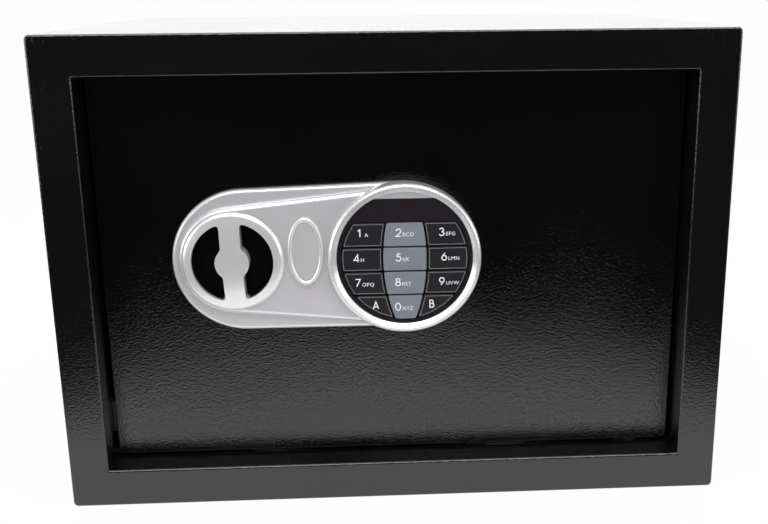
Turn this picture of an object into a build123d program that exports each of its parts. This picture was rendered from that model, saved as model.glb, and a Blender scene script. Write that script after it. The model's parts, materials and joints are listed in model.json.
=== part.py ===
"""A small digital home safe: steel cabinet, recessed door, electronic lock with a turning knob.

Millimetres. X to the right, Y from the front to the back, Z up. The origin is at the centre
of the cabinet's underside. A "level" is a distance proud of the door's front face.
"""

from build123d import *

import os
from math import pi, radians, sqrt, tan

os.makedirs("parts", exist_ok=True)

# ---------------------------------------------------------------- driving dimensions
# cabinet
WIDTH = 350.0
HEIGHT = 250.0
DEPTH = 250.0
SHEET = 2.0  # wrap, rear panel and returns
CORNER_RADIUS = 2.6  # outer bends of the wrap, along Y
FRAME_SHEET = 2.5  # front plate of the frame
FRAME_BEND = 1.2  # rounding of the frame's outer and inner front edges
BORDER = 20.5  # width of the frame's face around the opening
OPENING_CORNER = 0.6
RETURN_DEPTH = 30.0  # top, bottom and hinge side
LOCK_RETURN_DEPTH = 24.0  # lock side, shorter so that the bolts pass behind it

# door
RECESS = 17.5  # door face behind the frame's face
DOOR_GAP = 1.7
DOOR_THICKNESS = 4.0
DOOR_CORNER = 1.5
DOOR_EDGE = 0.6

# hinge, on the right
HINGE_INSET = 20.0  # pivot from the door's right edge
PIN_RADIUS = 3.0
PIN_BACKSET = 0.1  # pin's front behind the door's back face
RUNNING_FIT = 0.06
PRESS_FIT = 0.02
HINGE_BLOCK_WIDTH = 12.0
HINGE_BLOCK_HEIGHT = 20.0
HINGE_BRACKET_WIDTH = 24.0
HINGE_BRACKET_DEPTH = 20.0
HINGE_BRACKET_CORNER = 3.0
HINGE_BRACKET_SHEET = 3.0
WASHER_WALL = 3.0
LOOSE_FIT = 0.3
RETURN_HOLE_GAP = 0.5
EDGE_BREAK = 0.5  # small chamfers and rounded edges
PIN_OVERRUN = 1.5  # pin's end beyond its bracket

# lock plate outline
PLATE_LEVEL = 4.0
FASCIA_LEVEL = 8.0
PLATE_LEFT_SHIFT = 5.8  # centre of the outline's left end, right of the knob's axis
PLATE_LEFT_DROP = 1.0
PLATE_LEFT_RADIUS = 38.0
KEYPAD_FROM_KNOB = 89.5
KEYPAD_RISE = 0.3
PLATE_RIGHT_RADIUS = 39.4
FASCIA_LEFT_RADIUS = 28.5
FASCIA_RIGHT_RADIUS = 37.7
PLATE_ROUNDING = 2.0
FASCIA_ROUNDING = 2.8

# knob
KNOB_FROM_EDGE = 69.5  # from the door's left edge
KNOB_RISE = 8.0  # above the door's middle
KNOB_RADIUS = 26.5
KNOB_LEVEL = 13.0  # crest of the domed face
KNOB_OPENING_RADIUS = 21.2
KNOB_DOME_RADIUS = 104.0
KNOB_DOME_EDGE = 24.2  # the rolled rim starts at this radius
KNOB_GAP = 0.35  # knob above the fascia
DISH_GAP = 0.75  # dish inside its hole in the plate
HUB_RADIUS = 8.8
GAP_EDGE = 0.35  # rounded front edge of the finger gaps
BAR_WIDTH = 10.5
BAR_LEAN = 2.4  # degrees, top to the left
BAR_UNDERSIDE = 4.6
GAP_CORNER = 1.2
DISH_RADIUS = 22.6
DISH_WALL = 1.4
DISH_FLOOR_LEVEL = 1.2
DISH_FLOOR = 1.4
SPINDLE_RADIUS = 4.0

# keypad
BEZEL_RADIUS = 40.0
BEZEL_LEVEL = 13.0
BEZEL_BORE_RADIUS = 35.6
BEZEL_CREST = 1.9  # rounded top of the ring, in from its outside
BEZEL_SEAT_LEVEL = 10.4  # foot of the sloping inside
FACE_RADIUS = 35.4
FACE_LEVEL = 10.3
FACE_THICKNESS = 2.0
FACE_CHORD = 31.85  # flat at the top, above the keypad's centre
FACE_SKIRT = 0.9
SEGMENT_DROP = 0.2  # silver segment below the face
KEYS_RADIUS = 33.0  # outline of the twelve keys
KEYS_TOP = 19.2
KEY_ROWS = (12.4, 12.2, 12.0, 12.8)  # row heights, top to bottom
KEY_GAP = 0.9
KEY_LEVEL = 10.9
KEY_THICKNESS = 3.0
KEY_CORNER = 0.7
KEY_EDGE = 0.25
KEY_TRAVEL = 0.5
KEY_SIDE_GAP = 0.45
COLUMN_HALF_WIDTH = 11.3
COLUMN_BOW = 92.0  # radius of the middle column's bowed sides
MAT_THICKNESS = 1.2
DOME_RADIUS = 2.5
BOARD_LEVEL = 3.0
BOARD_THICKNESS = 1.6
BOARD_PLUG_WIDTH = 7.0
BOARD_PLUG_HEIGHT = 4.0
BOARD_PLUG_DEPTH = 1.6
LIGHT_RADIUS = 0.8
LIGHT_SPACING = 3.0
LIGHT_HEIGHT = 28.4
LIGHT_DROP = 0.2  # lamp below the face

# override lock and its cover
CAP_FROM_KNOB = 37.8
CAP_RISE = 4.8
CAP_WIDTH = 18.4
CAP_HEIGHT = 36.1
CAP_LEVEL = 10.0
CAP_DISH = 0.9  # depth of the dished face
CAP_RIM = 1.5
CAP_EDGE = 0.7
CAP_PLUG_INSET = 1.7
CAP_PLUG_WALL = 1.0
CAP_PLUG_DEPTH = 3.4
CAP_SLOT_GAP = 0.4
CAP_SLOT_INSET = CAP_PLUG_INSET - CAP_SLOT_GAP
LOCK_BODY_RADIUS = 6.0
LOCK_BODY_LEVEL = 3.6
PLUG_RADIUS = 4.0
PLUG_HEAD = 4.6  # wider head, let into the lock body
PLUG_HEAD_DEPTH = 2.0
KEYWAY_WIDTH = 1.4
KEYWAY_HEIGHT = 6.0
KEYWAY_DEPTH = 12.0
LOCK_NUT_FLATS = 17.0
LOCK_NUT_THICKNESS = 3.0
CAM_END_GAP = 0.5  # cam behind the lock body
PLUG_HEAD_GAP = 0.1
CAM_GAP = 0.6  # turned cam under the release arm
CAM_WIDTH = 8.0
CAM_THICKNESS = 2.0

# bolt work, behind the door
CRANK_THICKNESS = 4.0
CRANK_GAP = 0.5  # crank from the door's back
CRANK_THROW = 10.5
CRANK_EYE = 7.0
CRANK_PIN_RADIUS = 3.0
CRANK_PIN_WALL = 1.5
BEHIND_WEB = 0.5  # pin and posts beyond the web's back
CRANK_PIN_SLOT_GAP = 0.5
WEB_BACKSET = 7.0  # web's front behind the door's back
WEB_SHEET = 2.5
WEB_LEFT_REACH = 28.7  # from the knob's axis
WEB_RIGHT_REACH = 18.3
WEB_HALF_HEIGHT = 25.0
BOLT_THROW = 14.85
BOLT_RADIUS = 9.0
BOLT_SPREAD = 40.0  # bolt axes above and below the knob's axis
BOLT_BACKSET = 12.3  # bolt axis behind the door's back
BOLT_CHAMFER = 1.2
BOLT_TIP_INSET = 1.3  # drawn-in tip from the door's edge
FLANGE_OVERLAP = 7.0  # flange beyond a bolt's axis, above and below
FLANGE_FRONT = 5.5
FLANGE_BACK = 20.5
BOLT_SCREW_RADIUS = 2.5
BOLT_SCREW_DEPTH = 9.0
BOLT_SCREW_ROOM = 1.0
BOLT_SCREW_HEAD_RADIUS = 4.5
BOLT_SCREW_HEAD = 2.0
GUIDE_FROM_EDGE = 10.8
GUIDE_SHEET = 3.0
GUIDE_FOOT = 12.0
GUIDE_FOOT_SHEET = 2.0
GUIDE_BEYOND_BOLT = 15.0
GUIDE_BACK = 23.5
POST_RADIUS = 2.5
POST_SHIFT = 1.2  # left of the knob's axis
POST_SPREAD = 20.5
POST_SLOT_GAP = 0.35
POST_HEAD_RADIUS = 4.5
POST_HEAD = 1.2
POST_SHOULDER = 1.5

# solenoid, plunger and release arm
SOLENOID_SHIFT = 12.7  # left of the knob's axis
SOLENOID_RISE = 14.0  # above the web
SOLENOID_WIDTH = 20.0
SOLENOID_HEIGHT = 22.0
SOLENOID_DEPTH = 16.4
SOLENOID_SHEET = 1.5
COIL_RADIUS = 6.45
PLUNGER_RADIUS = 3.0
PLUNGER_BACKSET = 8.25
PLUNGER_TRAVEL = 5.0
PLUNGER_GAP = 0.6  # raised plunger above the web's edge
PLUNGER_STROKE_ROOM = 3.0
NOTCH_GAP = 0.5
ARM_DROP = 7.0  # below the solenoid
ARM_SHEET = 2.0
ARM_WIDTH = 3.0
ARM_BACKSET = 10.1
ARM_COLLAR = 5.2
SPRING_RADIUS = 4.2
SPRING_WIRE = 0.35
SPRING_TURNS = 3.0

# strike, stops
STRIKE_SHEET = 3.0
STRIKE_BEFORE_BOLT = 18.8
STRIKE_BEHIND_BOLT = 13.2
STRIKE_BEYOND_BOLT = 20.0
STRIKE_WINDOW = 21.0
STRIKE_CORNER = 1.0
STOP_HEIGHT = 18.0
STOP_WIDTH = 6.5
STOP_SHEET = 2.0
STOP_LEG = 14.0
STOP_FROM_CORNER = 19.8
BUFFER_THICKNESS = 2.5

# liner and what it holds
LINER_GUIDE_GAP = 1.2  # liner from the bolt guide
LINER_HINGE_GAP = 20.8  # liner from the hinge's axis
LINER_MARGIN = 17.8  # liner from the door's top and bottom
LINER_BACK = 29.0  # back face behind the door's back
LINER_WALL = 1.2
LINER_CORNER = 3.0
LINER_FOOT = 8.0
LINER_BOLT_GAP = 0.8
SCREW_RADIUS = 1.6
SCREW_HEAD_RADIUS = 3.2
SCREW_HEAD = 1.8
SCREW_DEPTH = 2.6
BATTERY_INSET = 46.0  # battery pack's middle from the liner's hinge side
BATTERY_DROP = 1.0  # below the door's middle
BATTERY_RADIUS = 7.1
BATTERY_LENGTH = 49.5
BATTERY_TIP = 1.2
BATTERY_TIP_RADIUS = 2.6
BATTERY_PITCH = 14.8
BATTERY_COUNT = 4
TRAY_WALL = 1.5
TRAY_CLEARANCE = 0.6
TRAY_END_ROOM = 3.2
CONTACT_SHEET = 0.5
CONTACT_TONGUE = 4.0
CONTACT_WIDTH = 11.5
COVER_LAP = 3.0
COVER_SHEET = 1.6
COVER_PLUG = 1.0
COVER_RIB = 1.5
COVER_CORNER = 2.0
TAB_WIDTH = 16.0
TAB_HEIGHT = 4.0
TAB_DEPTH = 1.2
COVER_GAP = 0.4
RESET_INSET = 16.0
RESET_DROP = 30.0
RESET_RADIUS = 3.6
RESET_GAP = 0.4
RESET_PROUD = 1.8
RESET_TRAVEL = 1.2
RESET_BODY = 13.0
RESET_BODY_DEPTH = 8.0
RESET_BODY_WALL = 1.5

# studs that hold the lock plate, right of and above the knob's axis
STUD_OFFSETS = ((-21.2, -12.0), (56.3, -21.0), (56.3, 22.0))
STUD_RADIUS = 2.0
STUD_NUT_FLATS = 7.0
STUD_NUT_THICKNESS = 2.6

# leads
GROMMET_DROP = 9.3  # below the keypad's axis
GROMMET_BORE = 3.0
GROMMET_RADIUS = 5.0
GROMMET_LIP = 1.5
LEAD_RADIUS = 1.5
THIN_LEAD_RADIUS = 1.0

# anchor holes and the mat
ANCHOR_RADIUS = 5.25
ANCHOR_SPACING = 180.0
FLOOR_ANCHOR_Y = 10.0
MAT_SHEET = 2.5
MAT_GAP = 1.0
MAT_HOLE_GAP = 2.0

# ---------------------------------------------------------------- places worked out once
FRONT = -DEPTH / 2
BACK = DEPTH / 2
MID_Z = HEIGHT / 2
OPENING_WIDTH = WIDTH - 2 * BORDER
OPENING_HEIGHT = HEIGHT - 2 * BORDER
OPENING_LEFT = -OPENING_WIDTH / 2
DOOR_WIDTH = OPENING_WIDTH - 2 * DOOR_GAP
DOOR_HEIGHT = OPENING_HEIGHT - 2 * DOOR_GAP
DOOR_LEFT = -DOOR_WIDTH / 2
DOOR_TOP = MID_Z + DOOR_HEIGHT / 2
DOOR_BOTTOM = MID_Z - DOOR_HEIGHT / 2
DOOR_FRONT = FRONT + RECESS
DOOR_BACK = DOOR_FRONT + DOOR_THICKNESS
KNOB_X = DOOR_LEFT + KNOB_FROM_EDGE
KNOB_Z = MID_Z + KNOB_RISE
PLATE_LEFT_X = KNOB_X + PLATE_LEFT_SHIFT
PLATE_LEFT_Z = KNOB_Z - PLATE_LEFT_DROP
KEYPAD_X = KNOB_X + KEYPAD_FROM_KNOB
KEYPAD_Z = KNOB_Z + KEYPAD_RISE
CAP_X = KNOB_X + CAP_FROM_KNOB
CAP_Z = KNOB_Z + CAP_RISE
STUD_PLACES = [(KNOB_X + across, KNOB_Z + up) for across, up in STUD_OFFSETS]
GROMMET_X = KEYPAD_X
GROMMET_Z = KEYPAD_Z - GROMMET_DROP
HINGE_X = DOOR_WIDTH / 2 - HINGE_INSET
HINGE_Y = DOOR_BACK + PIN_BACKSET + PIN_RADIUS
INNER_WIDTH = WIDTH - 2 * SHEET
INNER_HEIGHT = HEIGHT - 2 * SHEET
INNER_CORNER = CORNER_RADIUS - SHEET
CRANK_FRONT = DOOR_BACK + CRANK_GAP
CRANK_BACK = CRANK_FRONT + CRANK_THICKNESS
WEB_LEFT = KNOB_X - WEB_LEFT_REACH
WEB_RIGHT = KNOB_X + WEB_RIGHT_REACH
WEB_FRONT = DOOR_BACK + WEB_BACKSET
WEB_BACK = WEB_FRONT + WEB_SHEET
WEB_TOP = KNOB_Z + WEB_HALF_HEIGHT
BOLT_Y = DOOR_BACK + BOLT_BACKSET
BOLT_HEIGHTS = (KNOB_Z - BOLT_SPREAD, KNOB_Z + BOLT_SPREAD)
BOLT_TIP = DOOR_LEFT + BOLT_TIP_INSET
GUIDE_LEFT = DOOR_LEFT + GUIDE_FROM_EDGE
GUIDE_HALF_HEIGHT = BOLT_SPREAD + GUIDE_BEYOND_BOLT
POST_X = KNOB_X - POST_SHIFT
SOLENOID_X = KNOB_X - SOLENOID_SHIFT
SOLENOID_FOOT_Z = WEB_TOP + SOLENOID_RISE
PLUNGER_Y = DOOR_BACK + PLUNGER_BACKSET
PLUNGER_FOOT = WEB_TOP + PLUNGER_GAP
ARM_Y = DOOR_BACK + ARM_BACKSET
ARM_Z = SOLENOID_FOOT_Z - ARM_DROP
CAM_FRONT = ARM_Y
CAM_REACH = ARM_Z - CAM_GAP - CAP_Z
STUD_LENGTH = DOOR_THICKNESS + STUD_NUT_THICKNESS + 1.0
STRIKE_X = OPENING_LEFT - SHEET - STRIKE_SHEET
STRIKE_FRONT = BOLT_Y - STRIKE_BEFORE_BOLT
STRIKE_BACK = BOLT_Y + STRIKE_BEHIND_BOLT
STRIKE_HALF_HEIGHT = BOLT_SPREAD + STRIKE_BEYOND_BOLT
STOP_CENTRES = (DOOR_BOTTOM + STOP_FROM_CORNER, DOOR_TOP - STOP_FROM_CORNER)
LINER_LEFT = GUIDE_LEFT + GUIDE_SHEET + LINER_GUIDE_GAP
LINER_RIGHT = HINGE_X - LINER_HINGE_GAP
LINER_BOTTOM = DOOR_BOTTOM + LINER_MARGIN
LINER_TOP = DOOR_TOP - LINER_MARGIN
LINER_Y = DOOR_BACK + LINER_BACK
BATTERY_X = LINER_RIGHT - BATTERY_INSET
BATTERY_Z = MID_Z - BATTERY_DROP
RESET_X = LINER_RIGHT - RESET_INSET
RESET_Z = LINER_TOP - RESET_DROP
TRAY_WIDTH = BATTERY_COUNT * BATTERY_PITCH + 2 * TRAY_CLEARANCE
TRAY_LENGTH = BATTERY_LENGTH + 2 * TRAY_END_ROOM
TRAY_TOP_Y = LINER_Y - LINER_WALL
BATTERY_Y = TRAY_TOP_Y - BATTERY_RADIUS - TRAY_CLEARANCE
TRAY_FLOOR_Y = BATTERY_Y - BATTERY_RADIUS
WELD = 0.3  # overlap where two forms of one piece join
SPACER = 0.05  # clearance of a fixed part in its own hole
THROUGH = 40.0  # cutters longer than anything they pass


def facing_front(y):
    """Plane at depth y that looks out of the safe: extrusions go towards the front."""
    return Plane.XZ.offset(-y)


def level(height):
    """Plane at a height proud of the door's front face."""
    return facing_front(DOOR_FRONT - height)


# ================================================================ cabinet
with BuildPart() as body_wrap:
    with BuildSketch(facing_front(BACK)):
        with Locations((0, MID_Z)):
            RectangleRounded(WIDTH, HEIGHT, CORNER_RADIUS)
            RectangleRounded(INNER_WIDTH, INNER_HEIGHT, INNER_CORNER, mode=Mode.SUBTRACT)
    extrude(amount=DEPTH - FRAME_SHEET)
    with Locations((0, FLOOR_ANCHOR_Y, SHEET)):
        with GridLocations(ANCHOR_SPACING, 0, 2, 1):
            Hole(ANCHOR_RADIUS, depth=SHEET)
body_wrap.part.label = "body_wrap"
export_step(body_wrap.part, "parts/body_wrap.step")

with BuildPart() as front_frame:
    with BuildSketch(facing_front(FRONT + FRAME_SHEET)):
        with Locations((0, MID_Z)):
            RectangleRounded(WIDTH, HEIGHT, CORNER_RADIUS)
    extrude(amount=FRAME_SHEET)
    with BuildSketch(facing_front(FRONT + RETURN_DEPTH)):
        with Locations((0, MID_Z)):
            RectangleRounded(OPENING_WIDTH + 2 * SHEET, OPENING_HEIGHT + 2 * SHEET, OPENING_CORNER + SHEET)
    extrude(amount=RETURN_DEPTH - FRAME_SHEET)
    with BuildSketch(facing_front(FRONT + RETURN_DEPTH)):
        with Locations((0, MID_Z)):
            RectangleRounded(OPENING_WIDTH, OPENING_HEIGHT, OPENING_CORNER)
    extrude(amount=RETURN_DEPTH, mode=Mode.SUBTRACT)
    # the lock side's return is cut back so that the bolts pass behind it
    with BuildSketch(facing_front(FRONT + RETURN_DEPTH)):
        with Locations((OPENING_LEFT, MID_Z)):
            Rectangle(2 * (SHEET + OPENING_CORNER), OPENING_HEIGHT - 2 * OPENING_CORNER)
    extrude(amount=RETURN_DEPTH - LOCK_RETURN_DEPTH, mode=Mode.SUBTRACT)
    fillet(front_frame.faces().sort_by(Axis.Y)[0].edges(), FRAME_BEND)
    # the hinge pins pass through the top and bottom returns
    with BuildSketch(Plane.XY):
        with Locations((HINGE_X, HINGE_Y)):
            Circle(PIN_RADIUS + RETURN_HOLE_GAP)
    extrude(amount=HEIGHT, mode=Mode.SUBTRACT)
front_frame.part.label = "front_frame"
export_step(front_frame.part, "parts/front_frame.step")

with BuildPart() as rear_panel:
    with BuildSketch(facing_front(BACK)):
        with Locations((0, MID_Z)):
            RectangleRounded(INNER_WIDTH, INNER_HEIGHT, INNER_CORNER)
        with Locations((0, MID_Z)):
            with GridLocations(ANCHOR_SPACING, 0, 2, 1):
                Circle(ANCHOR_RADIUS, mode=Mode.SUBTRACT)
    extrude(amount=SHEET)
rear_panel.part.label = "rear_panel"
export_step(rear_panel.part, "parts/rear_panel.step")

with BuildPart() as floor_mat:
    with BuildSketch(Plane.XY.offset(SHEET)):
        mat_front = FRONT + RETURN_DEPTH + MAT_GAP
        mat_back = BACK - SHEET - MAT_GAP
        with Locations((0, (mat_front + mat_back) / 2)):
            Rectangle(INNER_WIDTH - 2 * MAT_GAP, mat_back - mat_front)
        with Locations((0, FLOOR_ANCHOR_Y)):
            with GridLocations(ANCHOR_SPACING, 0, 2, 1):
                Circle(ANCHOR_RADIUS + MAT_HOLE_GAP, mode=Mode.SUBTRACT)
    extrude(amount=MAT_SHEET)
floor_mat.part.label = "floor_mat"
export_step(floor_mat.part, "parts/floor_mat.step")

# strike plate, welded to the outside of the lock side's return
with BuildPart() as strike_plate:
    with BuildSketch(Plane.YZ.offset(STRIKE_X)):
        with Locations(((STRIKE_FRONT + STRIKE_BACK) / 2, KNOB_Z)):
            Rectangle(STRIKE_BACK - STRIKE_FRONT, 2 * STRIKE_HALF_HEIGHT)
        for bolt_z in BOLT_HEIGHTS:
            with Locations((BOLT_Y, bolt_z)):
                RectangleRounded(STRIKE_WINDOW, STRIKE_WINDOW, STRIKE_CORNER, mode=Mode.SUBTRACT)
    extrude(amount=STRIKE_SHEET)
strike_plate.part.label = "strike_plate"
export_step(strike_plate.part, "parts/strike_plate.step")

# L-shaped tabs behind the lock side's return, each with a rubber buffer for the door
STOP_FRONT = DOOR_BACK + BUFFER_THICKNESS
with BuildPart() as door_stops:
    for stop_z in STOP_CENTRES:
        with BuildSketch(Plane.XY.offset(stop_z - STOP_HEIGHT / 2)):
            with BuildLine():
                Polyline(
                    (OPENING_LEFT - SHEET, STOP_FRONT),
                    (OPENING_LEFT + STOP_WIDTH, STOP_FRONT),
                    (OPENING_LEFT + STOP_WIDTH, STOP_FRONT + STOP_SHEET),
                    (OPENING_LEFT, STOP_FRONT + STOP_SHEET),
                    (OPENING_LEFT, STOP_FRONT + STOP_LEG),
                    (OPENING_LEFT - SHEET, STOP_FRONT + STOP_LEG),
                    close=True,
                )
            make_face()
        extrude(amount=STOP_HEIGHT)
door_stops.part.label = "door_stops"
export_step(door_stops.part, "parts/door_stops.step")

with BuildPart() as door_buffers:
    for stop_z in STOP_CENTRES:
        with BuildSketch(facing_front(STOP_FRONT)):
            with Locations((OPENING_LEFT + (DOOR_GAP + STOP_WIDTH) / 2, stop_z)):
                Rectangle(STOP_WIDTH - DOOR_GAP, STOP_HEIGHT)
        extrude(amount=BUFFER_THICKNESS)
door_buffers.part.label = "door_buffers"
export_step(door_buffers.part, "parts/door_buffers.step")

# hinge brackets, welded to the outside of the top and bottom returns
BRACKET_LOW = (HEIGHT - OPENING_HEIGHT) / 2 - SHEET - HINGE_BRACKET_SHEET
BRACKET_HIGH = (HEIGHT + OPENING_HEIGHT) / 2 + SHEET
with BuildPart() as hinge_brackets:
    for bracket_z in (BRACKET_LOW, BRACKET_HIGH):
        with BuildSketch(Plane.XY.offset(bracket_z)):
            with Locations((HINGE_X, HINGE_Y)):
                RectangleRounded(HINGE_BRACKET_WIDTH, HINGE_BRACKET_DEPTH, HINGE_BRACKET_CORNER)
                Circle(PIN_RADIUS + RUNNING_FIT, mode=Mode.SUBTRACT)
        extrude(amount=HINGE_BRACKET_SHEET)
hinge_brackets.part.label = "hinge_brackets"
export_step(hinge_brackets.part, "parts/hinge_brackets.step")

# plain washers between the returns and the door's hinge blocks
with BuildPart() as hinge_washers:
    for washer_z in (DOOR_BOTTOM - DOOR_GAP, DOOR_TOP):
        with BuildSketch(Plane.XY.offset(washer_z)):
            with Locations((HINGE_X, HINGE_Y)):
                Circle(PIN_RADIUS + WASHER_WALL)
                Circle(PIN_RADIUS + LOOSE_FIT, mode=Mode.SUBTRACT)
        extrude(amount=DOOR_GAP)
hinge_washers.part.label = "hinge_washers"
export_step(hinge_washers.part, "parts/hinge_washers.step")

# ================================================================ door and hinge
with BuildPart() as door_plate:
    with BuildSketch(facing_front(DOOR_BACK)):
        with Locations((0, MID_Z)):
            RectangleRounded(DOOR_WIDTH, DOOR_HEIGHT, DOOR_CORNER)
    extrude(amount=DOOR_THICKNESS)
    fillet(door_plate.faces().sort_by(Axis.Y)[0].edges(), DOOR_EDGE)
    # through holes: knob spindle, override lock, lead grommet and plate studs
    with BuildSketch(facing_front(DOOR_BACK)):
        with Locations((KNOB_X, KNOB_Z)):
            Circle(SPINDLE_RADIUS + RUNNING_FIT)
        with Locations((CAP_X, CAP_Z)):
            Circle(LOCK_BODY_RADIUS + SPACER)
        with Locations((GROMMET_X, GROMMET_Z)):
            Circle(GROMMET_RADIUS + SPACER)
        with Locations(*STUD_PLACES):
            Circle(STUD_RADIUS + SPACER)
    extrude(amount=DOOR_THICKNESS, mode=Mode.SUBTRACT)
    # blind tapped holes for the liner's screws
    SCREW_PLACES = [
        (screw_x, screw_z)
        for screw_x in (LINER_LEFT + 20, LINER_RIGHT - 20)
        for screw_z in (LINER_BOTTOM - LINER_FOOT / 2, LINER_TOP + LINER_FOOT / 2)
    ]
    with BuildSketch(facing_front(DOOR_BACK)):
        with Locations(*SCREW_PLACES):
            Circle(SCREW_RADIUS + SPACER)
    extrude(amount=SCREW_DEPTH + SPACER, mode=Mode.SUBTRACT)
door_plate.part.label = "door_plate"
export_step(door_plate.part, "parts/door_plate.step")

BLOCK_BACK = HINGE_Y + HINGE_BLOCK_WIDTH / 2
with BuildPart() as hinge_blocks:
    for block_z in (DOOR_BOTTOM, DOOR_TOP - HINGE_BLOCK_HEIGHT):
        with BuildSketch(Plane.XY.offset(block_z)):
            with Locations((HINGE_X, (DOOR_BACK + BLOCK_BACK) / 2)):
                Rectangle(HINGE_BLOCK_WIDTH, BLOCK_BACK - DOOR_BACK)
            with Locations((HINGE_X, HINGE_Y)):
                Circle(PIN_RADIUS + PRESS_FIT, mode=Mode.SUBTRACT)
        extrude(amount=HINGE_BLOCK_HEIGHT)
hinge_blocks.part.label = "hinge_blocks"
export_step(hinge_blocks.part, "parts/hinge_blocks.step")

with BuildPart() as hinge_pins:
    lower_end = BRACKET_LOW - PIN_OVERRUN
    upper_start = DOOR_TOP - HINGE_BLOCK_HEIGHT
    pin_length = DOOR_BOTTOM + HINGE_BLOCK_HEIGHT - lower_end
    for pin_z in (lower_end, upper_start):
        with BuildSketch(Plane.XY.offset(pin_z)):
            with Locations((HINGE_X, HINGE_Y)):
                Circle(PIN_RADIUS)
        extrude(amount=pin_length)
    chamfer(hinge_pins.faces().filter_by(Axis.Z).edges(), EDGE_BREAK)
hinge_pins.part.label = "hinge_pins"
export_step(hinge_pins.part, "parts/hinge_pins.step")

# ================================================================ lock plate on the door
with BuildPart() as lock_plate:
    with BuildSketch(level(0)):
        with Locations((PLATE_LEFT_X, PLATE_LEFT_Z)):
            Circle(PLATE_LEFT_RADIUS)
        with Locations((KEYPAD_X, KEYPAD_Z)):
            Circle(PLATE_RIGHT_RADIUS)
        make_hull()
    extrude(amount=PLATE_LEVEL)
    fillet(lock_plate.faces().sort_by(Axis.Y)[0].edges(), PLATE_ROUNDING)
    with BuildSketch(level(PLATE_LEVEL)):
        with Locations((KNOB_X, KNOB_Z)):
            Circle(FASCIA_LEFT_RADIUS)
        with Locations((KEYPAD_X, KEYPAD_Z)):
            Circle(FASCIA_RIGHT_RADIUS)
        make_hull()
    extrude(amount=FASCIA_LEVEL - PLATE_LEVEL)
    fillet(lock_plate.faces().sort_by(Axis.Y)[0].edges(), FASCIA_ROUNDING)
    # seat for the keypad's ring, and the openings for knob, keypad and override lock
    with BuildSketch(level(PLATE_LEVEL)):
        with Locations((KEYPAD_X, KEYPAD_Z)):
            Circle(BEZEL_RADIUS + SPACER)
    extrude(amount=FASCIA_LEVEL, mode=Mode.SUBTRACT)
    with BuildSketch(level(0)):
        with Locations((KEYPAD_X, KEYPAD_Z)):
            Circle(BEZEL_BORE_RADIUS)
        with Locations((KNOB_X, KNOB_Z)):
            Circle(DISH_RADIUS + DISH_GAP)
        with Locations((CAP_X, CAP_Z)):
            Ellipse(CAP_WIDTH / 2 - CAP_SLOT_INSET, CAP_HEIGHT / 2 - CAP_SLOT_INSET)
    extrude(amount=THROUGH, mode=Mode.SUBTRACT)
    # studs cast into its back, through the door
    with BuildSketch(facing_front(DOOR_FRONT + STUD_LENGTH)):
        with Locations(*STUD_PLACES):
            Circle(STUD_RADIUS)
    extrude(amount=STUD_LENGTH)
lock_plate.part.label = "lock_plate"
export_step(lock_plate.part, "parts/lock_plate.step")

# nuts on the door's back: one for each of the plate's studs and a large one for the lock body
with BuildPart() as door_nuts:
    with BuildSketch(facing_front(DOOR_BACK + STUD_NUT_THICKNESS)):
        with Locations(*STUD_PLACES):
            RegularPolygon(STUD_NUT_FLATS / 2, 6, major_radius=False)
            Circle(STUD_RADIUS + SPACER, mode=Mode.SUBTRACT)
    extrude(amount=STUD_NUT_THICKNESS)
    with BuildSketch(facing_front(DOOR_BACK + LOCK_NUT_THICKNESS)):
        with Locations((CAP_X, CAP_Z)):
            RegularPolygon(LOCK_NUT_FLATS / 2, 6, major_radius=False)
            Circle(LOCK_BODY_RADIUS + SPACER, mode=Mode.SUBTRACT)
    extrude(amount=LOCK_NUT_THICKNESS)
door_nuts.part.label = "door_nuts"
export_step(door_nuts.part, "parts/door_nuts.step")

# ================================================================ keypad
# the ring's section, turned about the keypad's axis; Y runs along the axis
with BuildPart() as keypad_bezel:
    with BuildSketch(Plane.YZ.offset(KEYPAD_X)):
        seat_y = DOOR_FRONT - PLATE_LEVEL
        crest_y = DOOR_FRONT - BEZEL_LEVEL
        slope_y = DOOR_FRONT - BEZEL_SEAT_LEVEL
        crest_radius = BEZEL_RADIUS - BEZEL_CREST
        with BuildLine():
            Line((seat_y, KEYPAD_Z + BEZEL_BORE_RADIUS), (seat_y, KEYPAD_Z + BEZEL_RADIUS))
            Line((seat_y, KEYPAD_Z + BEZEL_RADIUS), (crest_y + BEZEL_CREST, KEYPAD_Z + BEZEL_RADIUS))
            CenterArc((crest_y + BEZEL_CREST, KEYPAD_Z + crest_radius), BEZEL_CREST, 90, 90)
            Line((crest_y, KEYPAD_Z + crest_radius), (slope_y, KEYPAD_Z + BEZEL_BORE_RADIUS))
            Line((slope_y, KEYPAD_Z + BEZEL_BORE_RADIUS), (seat_y, KEYPAD_Z + BEZEL_BORE_RADIUS))
        make_face()
    revolve(axis=Axis((KEYPAD_X, 0, KEYPAD_Z), (0, 1, 0)))
    # silver segment that fills the bore above the face's flat top
    with BuildSketch(level(FACE_LEVEL - FACE_THICKNESS)):
        with Locations((KEYPAD_X, KEYPAD_Z)):
            Circle(BEZEL_BORE_RADIUS + WELD)
        with Locations((KEYPAD_X, KEYPAD_Z + FACE_CHORD + SPACER)):
            Rectangle(3 * BEZEL_RADIUS, BEZEL_RADIUS, align=(Align.CENTER, Align.MIN), mode=Mode.INTERSECT)
    extrude(amount=FACE_THICKNESS - SEGMENT_DROP)
keypad_bezel.part.label = "keypad_bezel"
export_step(keypad_bezel.part, "parts/keypad_bezel.step")

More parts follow.
